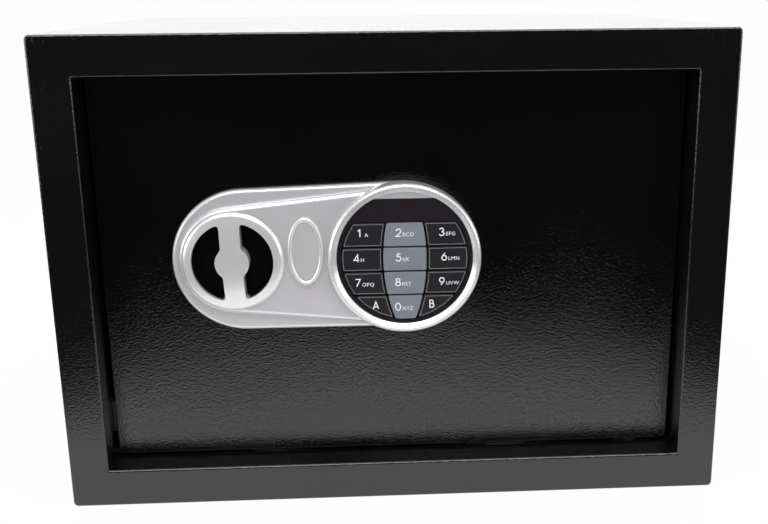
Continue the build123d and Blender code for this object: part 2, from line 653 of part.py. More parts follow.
BOARD_FRONT_LEVEL = BOARD_LEVEL + BOARD_THICKNESS
FACE_BACK_LEVEL = FACE_LEVEL - FACE_THICKNESS
LIGHT_PLACES = [(KEYPAD_X + side * LIGHT_SPACING / 2, KEYPAD_Z + LIGHT_HEIGHT) for side in (-1, 1)]
with BuildPart() as keypad_face:
    with BuildSketch(level(FACE_BACK_LEVEL)):
        with Locations((KEYPAD_X, KEYPAD_Z)):
            Circle(FACE_RADIUS)
        with Locations((KEYPAD_X, KEYPAD_Z + FACE_CHORD)):
            Rectangle(3 * FACE_RADIUS, 4 * FACE_RADIUS, align=(Align.CENTER, Align.MAX), mode=Mode.INTERSECT)
    extrude(amount=FACE_THICKNESS)
    # skirt that stands on the circuit board
    with BuildSketch(level(BOARD_FRONT_LEVEL)):
        with Locations((KEYPAD_X, KEYPAD_Z)):
            Circle(FACE_RADIUS)
            Circle(FACE_RADIUS - FACE_SKIRT, mode=Mode.SUBTRACT)
        with Locations((KEYPAD_X, KEYPAD_Z + FACE_CHORD)):
            Rectangle(3 * FACE_RADIUS, 4 * FACE_RADIUS, align=(Align.CENTER, Align.MAX), mode=Mode.INTERSECT)
    extrude(amount=FACE_BACK_LEVEL - BOARD_FRONT_LEVEL)
    # one opening for all the keys
    with BuildSketch(level(FACE_BACK_LEVEL)):
        with Locations((KEYPAD_X, KEYPAD_Z)):
            Circle(KEYS_RADIUS + KEY_SIDE_GAP)
        with Locations((KEYPAD_X, KEYPAD_Z + KEYS_TOP + KEY_SIDE_GAP)):
            Rectangle(3 * FACE_RADIUS, 4 * FACE_RADIUS, align=(Align.CENTER, Align.MAX), mode=Mode.INTERSECT)
    extrude(amount=FACE_THICKNESS, mode=Mode.SUBTRACT)
    with BuildSketch(level(FACE_BACK_LEVEL)):
        with Locations(*LIGHT_PLACES):
            Circle(LIGHT_RADIUS + SPACER)
    extrude(amount=FACE_THICKNESS, mode=Mode.SUBTRACT)
keypad_face.part.label = "keypad_face"
export_step(keypad_face.part, "parts/keypad_face.step")

with BuildPart() as circuit_board:
    with BuildSketch(level(BOARD_LEVEL)):
        with Locations((KEYPAD_X, KEYPAD_Z)):
            Circle(FACE_RADIUS)
        with Locations((KEYPAD_X, KEYPAD_Z + FACE_CHORD)):
            Rectangle(3 * FACE_RADIUS, 4 * FACE_RADIUS, align=(Align.CENTER, Align.MAX), mode=Mode.INTERSECT)
    extrude(amount=BOARD_THICKNESS)
    # plug for the keypad lead, on the board's back
    with BuildSketch(level(BOARD_LEVEL)):
        with Locations((GROMMET_X, GROMMET_Z)):
            Rectangle(BOARD_PLUG_WIDTH, BOARD_PLUG_HEIGHT)
    extrude(amount=-BOARD_PLUG_DEPTH)
circuit_board.part.label = "circuit_board"
export_step(circuit_board.part, "parts/circuit_board.step")

with BuildPart() as status_lights:
    with BuildSketch(level(BOARD_FRONT_LEVEL)):
        with Locations(*LIGHT_PLACES):
            Circle(LIGHT_RADIUS)
    extrude(amount=FACE_LEVEL - BOARD_FRONT_LEVEL - LIGHT_DROP)
status_lights.part.label = "status_lights"
export_step(status_lights.part, "parts/status_lights.step")

# keys: rows of bands cut by the keypad's circle and the middle column's bowed sides
ROW_NAMES = (("1", "2", "3"), ("4", "5", "6"), ("7", "8", "9"), ("a", "0", "b"))
COLUMN_CENTRE = COLUMN_HALF_WIDTH - COLUMN_BOW
KEY_BACK_LEVEL = KEY_LEVEL - KEY_THICKNESS
key_centres = {}
row_top = KEYS_TOP
for row_names, row_height in zip(ROW_NAMES, KEY_ROWS):
    row_middle = KEYPAD_Z + row_top - row_height / 2
    for side, key_name in zip((-1, 0, 1), row_names):
        with BuildPart() as key:
            with BuildSketch(level(KEY_BACK_LEVEL)) as outline:
                with Locations((KEYPAD_X, KEYPAD_Z)):
                    Circle(KEYS_RADIUS)
                if side == 0:
                    for bow in (-1, 1):
                        with Locations((KEYPAD_X + bow * COLUMN_CENTRE, KEYPAD_Z)):
                            Circle(COLUMN_BOW, mode=Mode.INTERSECT)
                    with Locations((KEYPAD_X, row_middle)):
                        Rectangle(3 * COLUMN_HALF_WIDTH, row_height, mode=Mode.INTERSECT)
                else:
                    with Locations((KEYPAD_X + side * KEYS_RADIUS / 2, row_middle)):
                        Rectangle(KEYS_RADIUS, row_height, mode=Mode.INTERSECT)
                    with Locations((KEYPAD_X + side * COLUMN_CENTRE, KEYPAD_Z)):
                        Circle(COLUMN_BOW + KEY_GAP, mode=Mode.SUBTRACT)
                fillet(outline.vertices(), KEY_CORNER)
            extrude(amount=KEY_THICKNESS)
            fillet(key.faces().sort_by(Axis.Y)[0].edges(), KEY_EDGE)
        key_centres[key_name] = (key.part.center().X, key.part.center().Z)
        key.part.label = f"key_{key_name}"
        export_step(key.part, f"parts/key_{key_name}.step")
    row_top -= row_height + KEY_GAP

# rubber mat with a spring dome under each key
DOME_TOP_LEVEL = KEY_BACK_LEVEL - KEY_TRAVEL - SPACER
with BuildPart() as keypad_mat:
    with BuildSketch(level(BOARD_FRONT_LEVEL)):
        with Locations((KEYPAD_X, KEYPAD_Z)):
            Circle(KEYS_RADIUS + KEY_SIDE_GAP)
        with Locations((KEYPAD_X, KEYPAD_Z + KEYS_TOP + KEY_SIDE_GAP)):
            Rectangle(3 * FACE_RADIUS, 4 * FACE_RADIUS, align=(Align.CENTER, Align.MAX), mode=Mode.INTERSECT)
    extrude(amount=MAT_THICKNESS)
    with BuildSketch(level(BOARD_FRONT_LEVEL + MAT_THICKNESS)):
        with Locations(*key_centres.values()):
            Circle(DOME_RADIUS)
    extrude(amount=DOME_TOP_LEVEL - BOARD_FRONT_LEVEL - MAT_THICKNESS)
keypad_mat.part.label = "keypad_mat"
export_step(keypad_mat.part, "parts/keypad_mat.step")

# ================================================================ knob
# one low domed disc, rolled over at its rim, which stands outside the plate's hole
with BuildPart() as knob_grip:
    with BuildSketch(Plane.YZ.offset(KNOB_X)):
        foot_y = DOOR_FRONT - FASCIA_LEVEL - KNOB_GAP
        under_y = DOOR_FRONT - BAR_UNDERSIDE
        centre_y = DOOR_FRONT - KNOB_LEVEL + KNOB_DOME_RADIUS
        half_edge = KNOB_DOME_EDGE / 2
        with BuildLine():
            Line((under_y, KNOB_Z), (under_y, KNOB_Z + KNOB_OPENING_RADIUS))
            Line((under_y, KNOB_Z + KNOB_OPENING_RADIUS), (foot_y, KNOB_Z + KNOB_OPENING_RADIUS))
            Line((foot_y, KNOB_Z + KNOB_OPENING_RADIUS), (foot_y, KNOB_Z + KNOB_RADIUS))
            dome = ThreePointArc(
                (centre_y - KNOB_DOME_RADIUS, KNOB_Z),
                (centre_y - sqrt(KNOB_DOME_RADIUS**2 - half_edge**2), KNOB_Z + half_edge),
                (centre_y - sqrt(KNOB_DOME_RADIUS**2 - KNOB_DOME_EDGE**2), KNOB_Z + KNOB_DOME_EDGE),
            )
            TangentArc(dome @ 1, (foot_y, KNOB_Z + KNOB_RADIUS), tangent=dome % 1)
            Line((centre_y - KNOB_DOME_RADIUS, KNOB_Z), (under_y, KNOB_Z))
        make_face()
    revolve(axis=Axis((KNOB_X, 0, KNOB_Z), (0, 1, 0)))
    # two half-moon finger gaps leave the bar and the round hub
    with BuildSketch(level(BAR_UNDERSIDE)) as finger_gaps:
        with Locations((KNOB_X, KNOB_Z)):
            Circle(KNOB_OPENING_RADIUS)
            Circle(HUB_RADIUS, mode=Mode.SUBTRACT)
        with Locations(Location((KNOB_X, KNOB_Z, 0), (0, 0, BAR_LEAN))):
            Rectangle(BAR_WIDTH, 3 * KNOB_OPENING_RADIUS, mode=Mode.SUBTRACT)
        fillet(finger_gaps.vertices(), GAP_CORNER)
    extrude(amount=THROUGH, mode=Mode.SUBTRACT)
    # the gaps' front edges lie inside the rim and to one side of the knob's axis
    gap_edges = [
        edge
        for edge in knob_grip.edges()
        if (edge.center() - Vector(KNOB_X, edge.center().Y, KNOB_Z)).length < KNOB_OPENING_RADIUS + WELD
        and abs(edge.center().X - KNOB_X) > BAR_WIDTH / 4
        and edge.bounding_box().max.Y < foot_y
    ]
    fillet(gap_edges, GAP_EDGE)
knob_grip.part.label = "knob_grip"
export_step(knob_grip.part, "parts/knob_grip.step")

with BuildPart() as knob_dish:
    with BuildSketch(level(DISH_FLOOR_LEVEL)):
        with Locations((KNOB_X, KNOB_Z)):
            Circle(DISH_RADIUS)
            Circle(SPINDLE_RADIUS + SPACER, mode=Mode.SUBTRACT)
    extrude(amount=DISH_FLOOR)
    with BuildSketch(level(DISH_FLOOR_LEVEL + DISH_FLOOR)):
        with Locations((KNOB_X, KNOB_Z)):
            Circle(DISH_RADIUS)
            Circle(DISH_RADIUS - DISH_WALL, mode=Mode.SUBTRACT)
    extrude(amount=FASCIA_LEVEL + KNOB_GAP - DISH_FLOOR_LEVEL - DISH_FLOOR)
knob_dish.part.label = "knob_dish"
export_step(knob_dish.part, "parts/knob_dish.step")

with BuildPart() as knob_spindle:
    with BuildSketch(facing_front(CRANK_BACK)):
        with Locations((KNOB_X, KNOB_Z)):
            Circle(SPINDLE_RADIUS)
    extrude(amount=CRANK_BACK - DOOR_FRONT + BAR_UNDERSIDE)
knob_spindle.part.label = "knob_spindle"
export_step(knob_spindle.part, "parts/knob_spindle.step")

CRANK_OFFSET = CRANK_THROW * 0.5**0.5  # the crank rests at 45 degrees
PIN_X = KNOB_X + CRANK_OFFSET
PIN_Z = KNOB_Z + CRANK_OFFSET
with BuildPart() as crank_arm:
    with BuildSketch(facing_front(CRANK_BACK)):
        with Locations((KNOB_X, KNOB_Z)):
            Circle(CRANK_EYE)
        with Locations((PIN_X, PIN_Z)):
            Circle(CRANK_PIN_RADIUS + CRANK_PIN_WALL)
        make_hull()
        with Locations((KNOB_X, KNOB_Z)):
            Circle(SPINDLE_RADIUS + SPACER, mode=Mode.SUBTRACT)
    extrude(amount=CRANK_THICKNESS)
    with BuildSketch(facing_front(WEB_BACK + BEHIND_WEB)):
        with Locations((PIN_X, PIN_Z)):
            Circle(CRANK_PIN_RADIUS)
    extrude(amount=WEB_BACK + BEHIND_WEB - CRANK_BACK)
crank_arm.part.label = "crank_arm"
export_step(crank_arm.part, "parts/crank_arm.step")

# ================================================================ bolt work
PIN_SLOT_LOW = KNOB_Z + CRANK_OFFSET - CRANK_PIN_RADIUS - CRANK_PIN_SLOT_GAP
PIN_SLOT_HIGH = KNOB_Z + CRANK_THROW + CRANK_PIN_RADIUS + CRANK_PIN_SLOT_GAP
NOTCH_HALF = PLUNGER_RADIUS + NOTCH_GAP
NOTCH_DEPTH = PLUNGER_TRAVEL - PLUNGER_GAP + NOTCH_GAP
FLANGE_HALF = BOLT_SPREAD + FLANGE_OVERLAP
with BuildPart() as bolt_carriage:
    with BuildSketch(facing_front(WEB_BACK)):
        with Locations(((WEB_LEFT + WEB_RIGHT) / 2, KNOB_Z)):
            Rectangle(WEB_RIGHT - WEB_LEFT, 2 * WEB_HALF_HEIGHT)
        # slot for the crank's pin
        with Locations((PIN_X, (PIN_SLOT_LOW + PIN_SLOT_HIGH) / 2)):
            Rectangle(
                2 * (CRANK_PIN_RADIUS + CRANK_PIN_SLOT_GAP),
                PIN_SLOT_HIGH - PIN_SLOT_LOW,
                mode=Mode.SUBTRACT,
            )
        # slots for the guide posts
        for side in (-1, 1):
            with Locations((POST_X + BOLT_THROW / 2, KNOB_Z + side * POST_SPREAD)):
                SlotCenterToCenter(
                    BOLT_THROW, 2 * (POST_RADIUS + POST_SLOT_GAP), mode=Mode.SUBTRACT
                )
        # notches for the plunger: over the first when drawn in, over the second when shot
        for notch_x in (SOLENOID_X, SOLENOID_X + BOLT_THROW):
            with Locations((notch_x, WEB_TOP)):
                Rectangle(2 * NOTCH_HALF, 2 * NOTCH_DEPTH, mode=Mode.SUBTRACT)
    extrude(amount=WEB_SHEET)
    # folded flange that carries the bolts
    with BuildSketch(Plane.YZ.offset(WEB_LEFT)):
        with Locations((DOOR_BACK + (FLANGE_FRONT + FLANGE_BACK) / 2, KNOB_Z)):
            Rectangle(FLANGE_BACK - FLANGE_FRONT, 2 * FLANGE_HALF)
        for bolt_z in BOLT_HEIGHTS:
            with Locations((BOLT_Y, bolt_z)):
                Circle(BOLT_SCREW_RADIUS + SPACER, mode=Mode.SUBTRACT)
    extrude(amount=WEB_SHEET)
bolt_carriage.part.label = "bolt_carriage"
export_step(bolt_carriage.part, "parts/bolt_carriage.step")

with BuildPart() as live_bolts:
    for bolt_z in BOLT_HEIGHTS:
        with BuildSketch(Plane.YZ.offset(BOLT_TIP)):
            with Locations((BOLT_Y, bolt_z)):
                Circle(BOLT_RADIUS)
        extrude(amount=WEB_LEFT - BOLT_TIP)
    chamfer(live_bolts.faces().filter_by(Axis.X).group_by(Axis.X)[0].edges(), BOLT_CHAMFER)
    for bolt_z in BOLT_HEIGHTS:
        with BuildSketch(Plane.YZ.offset(WEB_LEFT)):
            with Locations((BOLT_Y, bolt_z)):
                Circle(BOLT_SCREW_RADIUS + SPACER)
        extrude(amount=-(BOLT_SCREW_DEPTH + BOLT_SCREW_ROOM), mode=Mode.SUBTRACT)
live_bolts.part.label = "live_bolts"
export_step(live_bolts.part, "parts/live_bolts.step")

with BuildPart() as bolt_screws:
    for bolt_z in BOLT_HEIGHTS:
        with BuildSketch(Plane.YZ.offset(WEB_LEFT + WEB_SHEET)):
            with Locations((BOLT_Y, bolt_z)):
                Circle(BOLT_SCREW_HEAD_RADIUS)
        extrude(amount=BOLT_SCREW_HEAD)
        with BuildSketch(Plane.YZ.offset(WEB_LEFT + WEB_SHEET)):
            with Locations((BOLT_Y, bolt_z)):
                Circle(BOLT_SCREW_RADIUS)
        extrude(amount=-(WEB_SHEET + BOLT_SCREW_DEPTH))
bolt_screws.part.label = "bolt_screws"
export_step(bolt_screws.part, "parts/bolt_screws.step")

with BuildPart() as bolt_guide:
    with BuildSketch(Plane.YZ.offset(GUIDE_LEFT)):
        with Locations((DOOR_BACK, KNOB_Z)):
            Rectangle(GUIDE_BACK, 2 * GUIDE_HALF_HEIGHT, align=(Align.MIN, Align.CENTER))
        for bolt_z in BOLT_HEIGHTS:
            with Locations((BOLT_Y, bolt_z)):
                Circle(BOLT_RADIUS + RUNNING_FIT, mode=Mode.SUBTRACT)
    extrude(amount=GUIDE_SHEET)
    with BuildSketch(facing_front(DOOR_BACK + GUIDE_FOOT_SHEET)):
        with Locations((GUIDE_LEFT, KNOB_Z)):
            Rectangle(GUIDE_FOOT, 2 * GUIDE_HALF_HEIGHT, align=(Align.MIN, Align.CENTER))
    extrude(amount=GUIDE_FOOT_SHEET)
bolt_guide.part.label = "bolt_guide"
export_step(bolt_guide.part, "parts/bolt_guide.step")

# shouldered posts on the door's back, in the web's slots
with BuildPart() as carriage_posts:
    for side in (-1, 1):
        with BuildSketch(facing_front(WEB_BACK + BEHIND_WEB)):
            with Locations((POST_X, KNOB_Z + side * POST_SPREAD)):
                Circle(POST_RADIUS)
        extrude(amount=WEB_BACK + BEHIND_WEB - DOOR_BACK)
        with BuildSketch(facing_front(WEB_BACK + BEHIND_WEB + POST_HEAD)):
            with Locations((POST_X, KNOB_Z + side * POST_SPREAD)):
                Circle(POST_HEAD_RADIUS)
        extrude(amount=POST_HEAD)
        with BuildSketch(facing_front(WEB_FRONT - BEHIND_WEB)):
            with Locations((POST_X, KNOB_Z + side * POST_SPREAD)):
                Circle(POST_HEAD_RADIUS)
        extrude(amount=POST_SHOULDER)
carriage_posts.part.label = "carriage_posts"
export_step(carriage_posts.part, "parts/carriage_posts.step")

# ================================================================ solenoid
SOLENOID_TOP = SOLENOID_FOOT_Z + SOLENOID_HEIGHT
PLUNGER_TOP = SOLENOID_TOP - SOLENOID_SHEET - PLUNGER_STROKE_ROOM
with BuildPart() as solenoid_frame:
    with BuildSketch(Plane.YZ.offset(SOLENOID_X - SOLENOID_WIDTH / 2)):
        with Locations((DOOR_BACK, SOLENOID_FOOT_Z)):
            Rectangle(SOLENOID_DEPTH, SOLENOID_HEIGHT, align=(Align.MIN, Align.MIN))
        with Locations((DOOR_BACK + SOLENOID_SHEET, SOLENOID_FOOT_Z + SOLENOID_SHEET)):
            Rectangle(
                SOLENOID_DEPTH,
                SOLENOID_HEIGHT - 2 * SOLENOID_SHEET,
                align=(Align.MIN, Align.MIN),
                mode=Mode.SUBTRACT,
            )
    extrude(amount=SOLENOID_WIDTH)
    with BuildSketch(Plane.XY.offset(SOLENOID_FOOT_Z)):
        with Locations((SOLENOID_X, PLUNGER_Y)):
            Circle(PLUNGER_RADIUS + RUNNING_FIT)
    extrude(amount=SOLENOID_SHEET, mode=Mode.SUBTRACT)
solenoid_frame.part.label = "solenoid_frame"
export_step(solenoid_frame.part, "parts/solenoid_frame.step")

with BuildPart() as solenoid_coil:
    with BuildSketch(Plane.XY.offset(SOLENOID_FOOT_Z + SOLENOID_SHEET)):
        with Locations((SOLENOID_X, PLUNGER_Y)):
            Circle(COIL_RADIUS)
            Circle(PLUNGER_RADIUS + LOOSE_FIT, mode=Mode.SUBTRACT)
    extrude(amount=SOLENOID_HEIGHT - 2 * SOLENOID_SHEET)
solenoid_coil.part.label = "solenoid_coil"
export_step(solenoid_coil.part, "parts/solenoid_coil.step")

with BuildPart() as solenoid_plunger:
    with BuildSketch(Plane.XY.offset(PLUNGER_FOOT)):
        with Locations((SOLENOID_X, PLUNGER_Y)):
            Circle(PLUNGER_RADIUS)
    extrude(amount=PLUNGER_TOP - PLUNGER_FOOT)
solenoid_plunger.part.label = "solenoid_plunger"
export_step(solenoid_plunger.part, "parts/solenoid_plunger.step")

# collar on the plunger with an arm reaching over the override lock's cam
ARM_END = CAP_X + CAM_WIDTH / 2
with BuildPart() as release_arm:
    with BuildSketch(Plane.XY.offset(ARM_Z)):
        with Locations((SOLENOID_X, PLUNGER_Y)):
            Circle(ARM_COLLAR)
        with Locations((SOLENOID_X, ARM_Y)):
            Rectangle(ARM_END - SOLENOID_X, ARM_WIDTH, align=(Align.MIN, Align.MIN))
        with Locations((SOLENOID_X, PLUNGER_Y)):
            Circle(PLUNGER_RADIUS + PRESS_FIT, mode=Mode.SUBTRACT)
    extrude(amount=ARM_SHEET)
release_arm.part.label = "release_arm"
export_step(release_arm.part, "parts/release_arm.step")

spring_low = ARM_Z + ARM_SHEET + SPRING_WIRE
spring_height = SOLENOID_FOOT_Z - SPRING_WIRE - spring_low
with BuildPart() as plunger_spring:
    with BuildLine() as coil_line:
        Helix(
            pitch=spring_height / SPRING_TURNS,
            height=spring_height,
            radius=SPRING_RADIUS,
            center=(SOLENOID_X, PLUNGER_Y, spring_low),
        )
    with BuildSketch(Plane(origin=coil_line.line @ 0, z_dir=coil_line.line % 0)):
        Circle(SPRING_WIRE)
    sweep(path=coil_line.line, is_frenet=True)
plunger_spring.part.label = "plunger_spring"
export_step(plunger_spring.part, "parts/plunger_spring.step")

# ================================================================ override lock
LOCK_BODY_BACK = CAM_FRONT - CAM_END_GAP
with BuildPart() as override_lock_body:
    with BuildSketch(facing_front(LOCK_BODY_BACK)):
        with Locations((CAP_X, CAP_Z)):
            Circle(LOCK_BODY_RADIUS)
            Circle(PLUG_RADIUS + RUNNING_FIT, mode=Mode.SUBTRACT)
    extrude(amount=LOCK_BODY_BACK - DOOR_FRONT + LOCK_BODY_LEVEL)
    with BuildSketch(level(LOCK_BODY_LEVEL - PLUG_HEAD_DEPTH)):
        with Locations((CAP_X, CAP_Z)):
            Circle(PLUG_HEAD + RUNNING_FIT)
    extrude(amount=PLUG_HEAD_DEPTH, mode=Mode.SUBTRACT)
override_lock_body.part.label = "override_lock_body"
export_step(override_lock_body.part, "parts/override_lock_body.step")

with BuildPart() as lock_plug:
    with BuildSketch(facing_front(CAM_FRONT)):
        with Locations((CAP_X, CAP_Z)):
            Circle(PLUG_RADIUS)
    extrude(amount=CAM_FRONT - DOOR_FRONT + LOCK_BODY_LEVEL)
    with BuildSketch(level(LOCK_BODY_LEVEL - PLUG_HEAD_DEPTH + PLUG_HEAD_GAP)):
        with Locations((CAP_X, CAP_Z)):
            Circle(PLUG_HEAD)
    extrude(amount=PLUG_HEAD_DEPTH)
    with BuildSketch(level(LOCK_BODY_LEVEL - KEYWAY_DEPTH)):
        with Locations((CAP_X, CAP_Z)):
            Rectangle(KEYWAY_WIDTH, KEYWAY_HEIGHT)
    extrude(amount=THROUGH, mode=Mode.SUBTRACT)
lock_plug.part.label = "lock_plug"
export_step(lock_plug.part, "parts/lock_plug.step")

# cam at the plug's back: it lies to the left at rest and lifts the release arm when turned
with BuildPart() as lock_cam:
    with BuildSketch(facing_front(CAM_FRONT + CAM_THICKNESS)):
        with Locations((CAP_X, CAP_Z)):
            Circle(CAM_WIDTH / 2)
            Rectangle(CAM_REACH, CAM_WIDTH, align=(Align.MAX, Align.CENTER))
    extrude(amount=CAM_THICKNESS)
lock_cam.part.label = "lock_cam"
export_step(lock_cam.part, "parts/lock_cam.step")

with BuildPart() as override_cap:
    with BuildSketch(level(FASCIA_LEVEL)):
        with Locations((CAP_X, CAP_Z)):
            Ellipse(CAP_WIDTH / 2, CAP_HEIGHT / 2)
    extrude(amount=CAP_LEVEL - FASCIA_LEVEL)
    fillet(override_cap.faces().sort_by(Axis.Y)[0].edges(), CAP_EDGE)
    with BuildSketch(level(CAP_LEVEL - CAP_DISH)):
        with Locations((CAP_X, CAP_Z)):
            Ellipse(CAP_WIDTH / 2 - CAP_RIM, CAP_HEIGHT / 2 - CAP_RIM)
    extrude(amount=CAP_DISH, mode=Mode.SUBTRACT)
    with BuildSketch(level(FASCIA_LEVEL)):
        with Locations((CAP_X, CAP_Z)):
            Ellipse(CAP_WIDTH / 2 - CAP_PLUG_INSET, CAP_HEIGHT / 2 - CAP_PLUG_INSET)
            Ellipse(
                CAP_WIDTH / 2 - CAP_PLUG_INSET - CAP_PLUG_WALL,
                CAP_HEIGHT / 2 - CAP_PLUG_INSET - CAP_PLUG_WALL,
                mode=Mode.SUBTRACT,
            )
    extrude(amount=-CAP_PLUG_DEPTH)
override_cap.part.label = "override_cap"
export_step(override_cap.part, "parts/override_cap.step")

# ================================================================ liner behind the door
with BuildPart() as door_liner:
    liner_width = LINER_RIGHT - LINER_LEFT
    liner_height = LINER_TOP - LINER_BOTTOM
    liner_middle = ((LINER_LEFT + LINER_RIGHT) / 2, (LINER_BOTTOM + LINER_TOP) / 2)
    with BuildSketch(facing_front(LINER_Y)):
        with Locations(liner_middle):
            RectangleRounded(liner_width, liner_height, LINER_CORNER)
    extrude(amount=LINER_BACK)
    fillet(door_liner.faces().sort_by(Axis.Y)[-1].edges(), LINER_WALL)
    with BuildSketch(facing_front(DOOR_BACK + LINER_WALL)):
        with Locations(liner_middle):
            Rectangle(liner_width, liner_height + 2 * LINER_FOOT)
    extrude(amount=LINER_WALL)
    with BuildSketch(facing_front(LINER_Y - LINER_WALL)):
        with Locations(liner_middle):
            Rectangle(liner_width - 2 * LINER_WALL, liner_height - 2 * LINER_WALL)
    extrude(amount=LINER_BACK, mode=Mode.SUBTRACT)
    # holes for the bolts in the lock side's wall
    with BuildSketch(Plane.YZ.offset(LINER_LEFT)):
        for bolt_z in BOLT_HEIGHTS:
            with Locations((BOLT_Y, bolt_z)):
                Circle(BOLT_RADIUS + LINER_BOLT_GAP)
    extrude(amount=LINER_WALL, mode=Mode.SUBTRACT)
    # battery window, reset button and screw holes
    with BuildSketch(facing_front(LINER_Y)):
        with Locations((BATTERY_X, BATTERY_Z)):
            Rectangle(TRAY_WIDTH, TRAY_LENGTH)
        with Locations((RESET_X, RESET_Z)):
            Circle(RESET_RADIUS + RESET_GAP)
    extrude(amount=LINER_WALL, mode=Mode.SUBTRACT)
    with BuildSketch(facing_front(DOOR_BACK + LINER_WALL)):
        with Locations(*SCREW_PLACES):
            Circle(SCREW_RADIUS + SPACER)
    extrude(amount=LINER_WALL, mode=Mode.SUBTRACT)
    # foot of the bolt guide passes under the lock side's wall
    with BuildSketch(facing_front(DOOR_BACK + GUIDE_FOOT_SHEET + LOOSE_FIT)):
        with Locations((GUIDE_LEFT, KNOB_Z)):
            Rectangle(GUIDE_FOOT, 2 * (GUIDE_HALF_HEIGHT + LOOSE_FIT), align=(Align.MIN, Align.CENTER))
    extrude(amount=GUIDE_FOOT_SHEET + LOOSE_FIT, mode=Mode.SUBTRACT)
door_liner.part.label = "door_liner"
export_step(door_liner.part, "parts/door_liner.step")

with BuildPart() as liner_screws:
    with BuildSketch(facing_front(DOOR_BACK + LINER_WALL + SCREW_HEAD)):
        with Locations(*SCREW_PLACES):
            Circle(SCREW_HEAD_RADIUS)
    extrude(amount=SCREW_HEAD)
    chamfer(liner_screws.faces().sort_by(Axis.Y)[-1].edges(), EDGE_BREAK)
    with BuildSketch(facing_front(DOOR_BACK + LINER_WALL)):
        with Locations(*SCREW_PLACES):
            Circle(SCREW_RADIUS)
    extrude(amount=LINER_WALL + SCREW_DEPTH)
liner_screws.part.label = "liner_screws"
export_step(liner_screws.part, "parts/liner_screws.step")

with BuildPart() as battery_tray:
    with BuildSketch(facing_front(TRAY_TOP_Y)):
        with Locations((BATTERY_X, BATTERY_Z)):
            Rectangle(TRAY_WIDTH + 2 * TRAY_WALL, TRAY_LENGTH + 2 * TRAY_WALL)
    extrude(amount=TRAY_TOP_Y - TRAY_FLOOR_Y + TRAY_WALL)
    with BuildSketch(facing_front(TRAY_TOP_Y)):
        with Locations((BATTERY_X, BATTERY_Z)):
            Rectangle(TRAY_WIDTH, TRAY_LENGTH)
    extrude(amount=TRAY_TOP_Y - TRAY_FLOOR_Y, mode=Mode.SUBTRACT)
battery_tray.part.label = "battery_tray"
export_step(battery_tray.part, "parts/battery_tray.step")

BATTERY_PLACES = [
    BATTERY_X + (number - (BATTERY_COUNT - 1) / 2) * BATTERY_PITCH for number in range(BATTERY_COUNT)
]
with BuildPart() as batteries:
    for battery_x in BATTERY_PLACES:
        with BuildSketch(Plane.XY.offset(BATTERY_Z - BATTERY_LENGTH / 2)):
            with Locations((battery_x, BATTERY_Y)):
                Circle(BATTERY_RADIUS)
        extrude(amount=BATTERY_LENGTH - BATTERY_TIP)
        with BuildSketch(Plane.XY.offset(BATTERY_Z + BATTERY_LENGTH / 2 - BATTERY_TIP)):
            with Locations((battery_x, BATTERY_Y)):
                Circle(BATTERY_TIP_RADIUS)
        extrude(amount=BATTERY_TIP)
batteries.part.label = "batteries"
export_step(batteries.part, "parts/batteries.step")

with BuildPart() as battery_contacts:
    for end in (-1, 1):
        contact_z = BATTERY_Z + end * (TRAY_LENGTH - CONTACT_SHEET) / 2 - CONTACT_SHEET / 2
        with BuildSketch(Plane.XY.offset(contact_z)):
            with Locations(*[(battery_x, BATTERY_Y) for battery_x in BATTERY_PLACES]):
                Rectangle(CONTACT_WIDTH, CONTACT_WIDTH)
        extrude(amount=CONTACT_SHEET)
        # bowed tongue between each plate and its battery
        for battery_x in BATTERY_PLACES:
            tongue = TRAY_END_ROOM - CONTACT_SHEET
            with Locations((battery_x, BATTERY_Y, BATTERY_Z + end * (BATTERY_LENGTH + tongue) / 2)):
                Box(CONTACT_TONGUE, CONTACT_TONGUE, tongue)
battery_contacts.part.label = "battery_contacts"
export_step(battery_contacts.part, "parts/battery_contacts.step")

with BuildPart() as battery_cover:
    with BuildSketch(facing_front(LINER_Y + COVER_SHEET)):
        with Locations((BATTERY_X, BATTERY_Z)):
            RectangleRounded(TRAY_WIDTH + 2 * COVER_LAP, TRAY_LENGTH + 2 * COVER_LAP, COVER_CORNER)
    extrude(amount=COVER_SHEET)
    fillet(battery_cover.faces().sort_by(Axis.Y)[-1].edges(), EDGE_BREAK)
    with BuildSketch(facing_front(LINER_Y)):
        with Locations((BATTERY_X, BATTERY_Z)):
            Rectangle(TRAY_WIDTH - 2 * COVER_GAP, TRAY_LENGTH - 2 * COVER_GAP)
            Rectangle(
                TRAY_WIDTH - 2 * (COVER_GAP + COVER_RIB),
                TRAY_LENGTH - 2 * (COVER_GAP + COVER_RIB),
                mode=Mode.SUBTRACT,
            )
    extrude(amount=COVER_PLUG)
    # finger tab at the top edge
    with BuildSketch(facing_front(LINER_Y + COVER_SHEET + TAB_DEPTH)):
        with Locations((BATTERY_X, BATTERY_Z + TRAY_LENGTH / 2 - TAB_HEIGHT / 2)):
            RectangleRounded(TAB_WIDTH, TAB_HEIGHT, EDGE_BREAK)
    extrude(amount=TAB_DEPTH)
battery_cover.part.label = "battery_cover"
export_step(battery_cover.part, "parts/battery_cover.step")

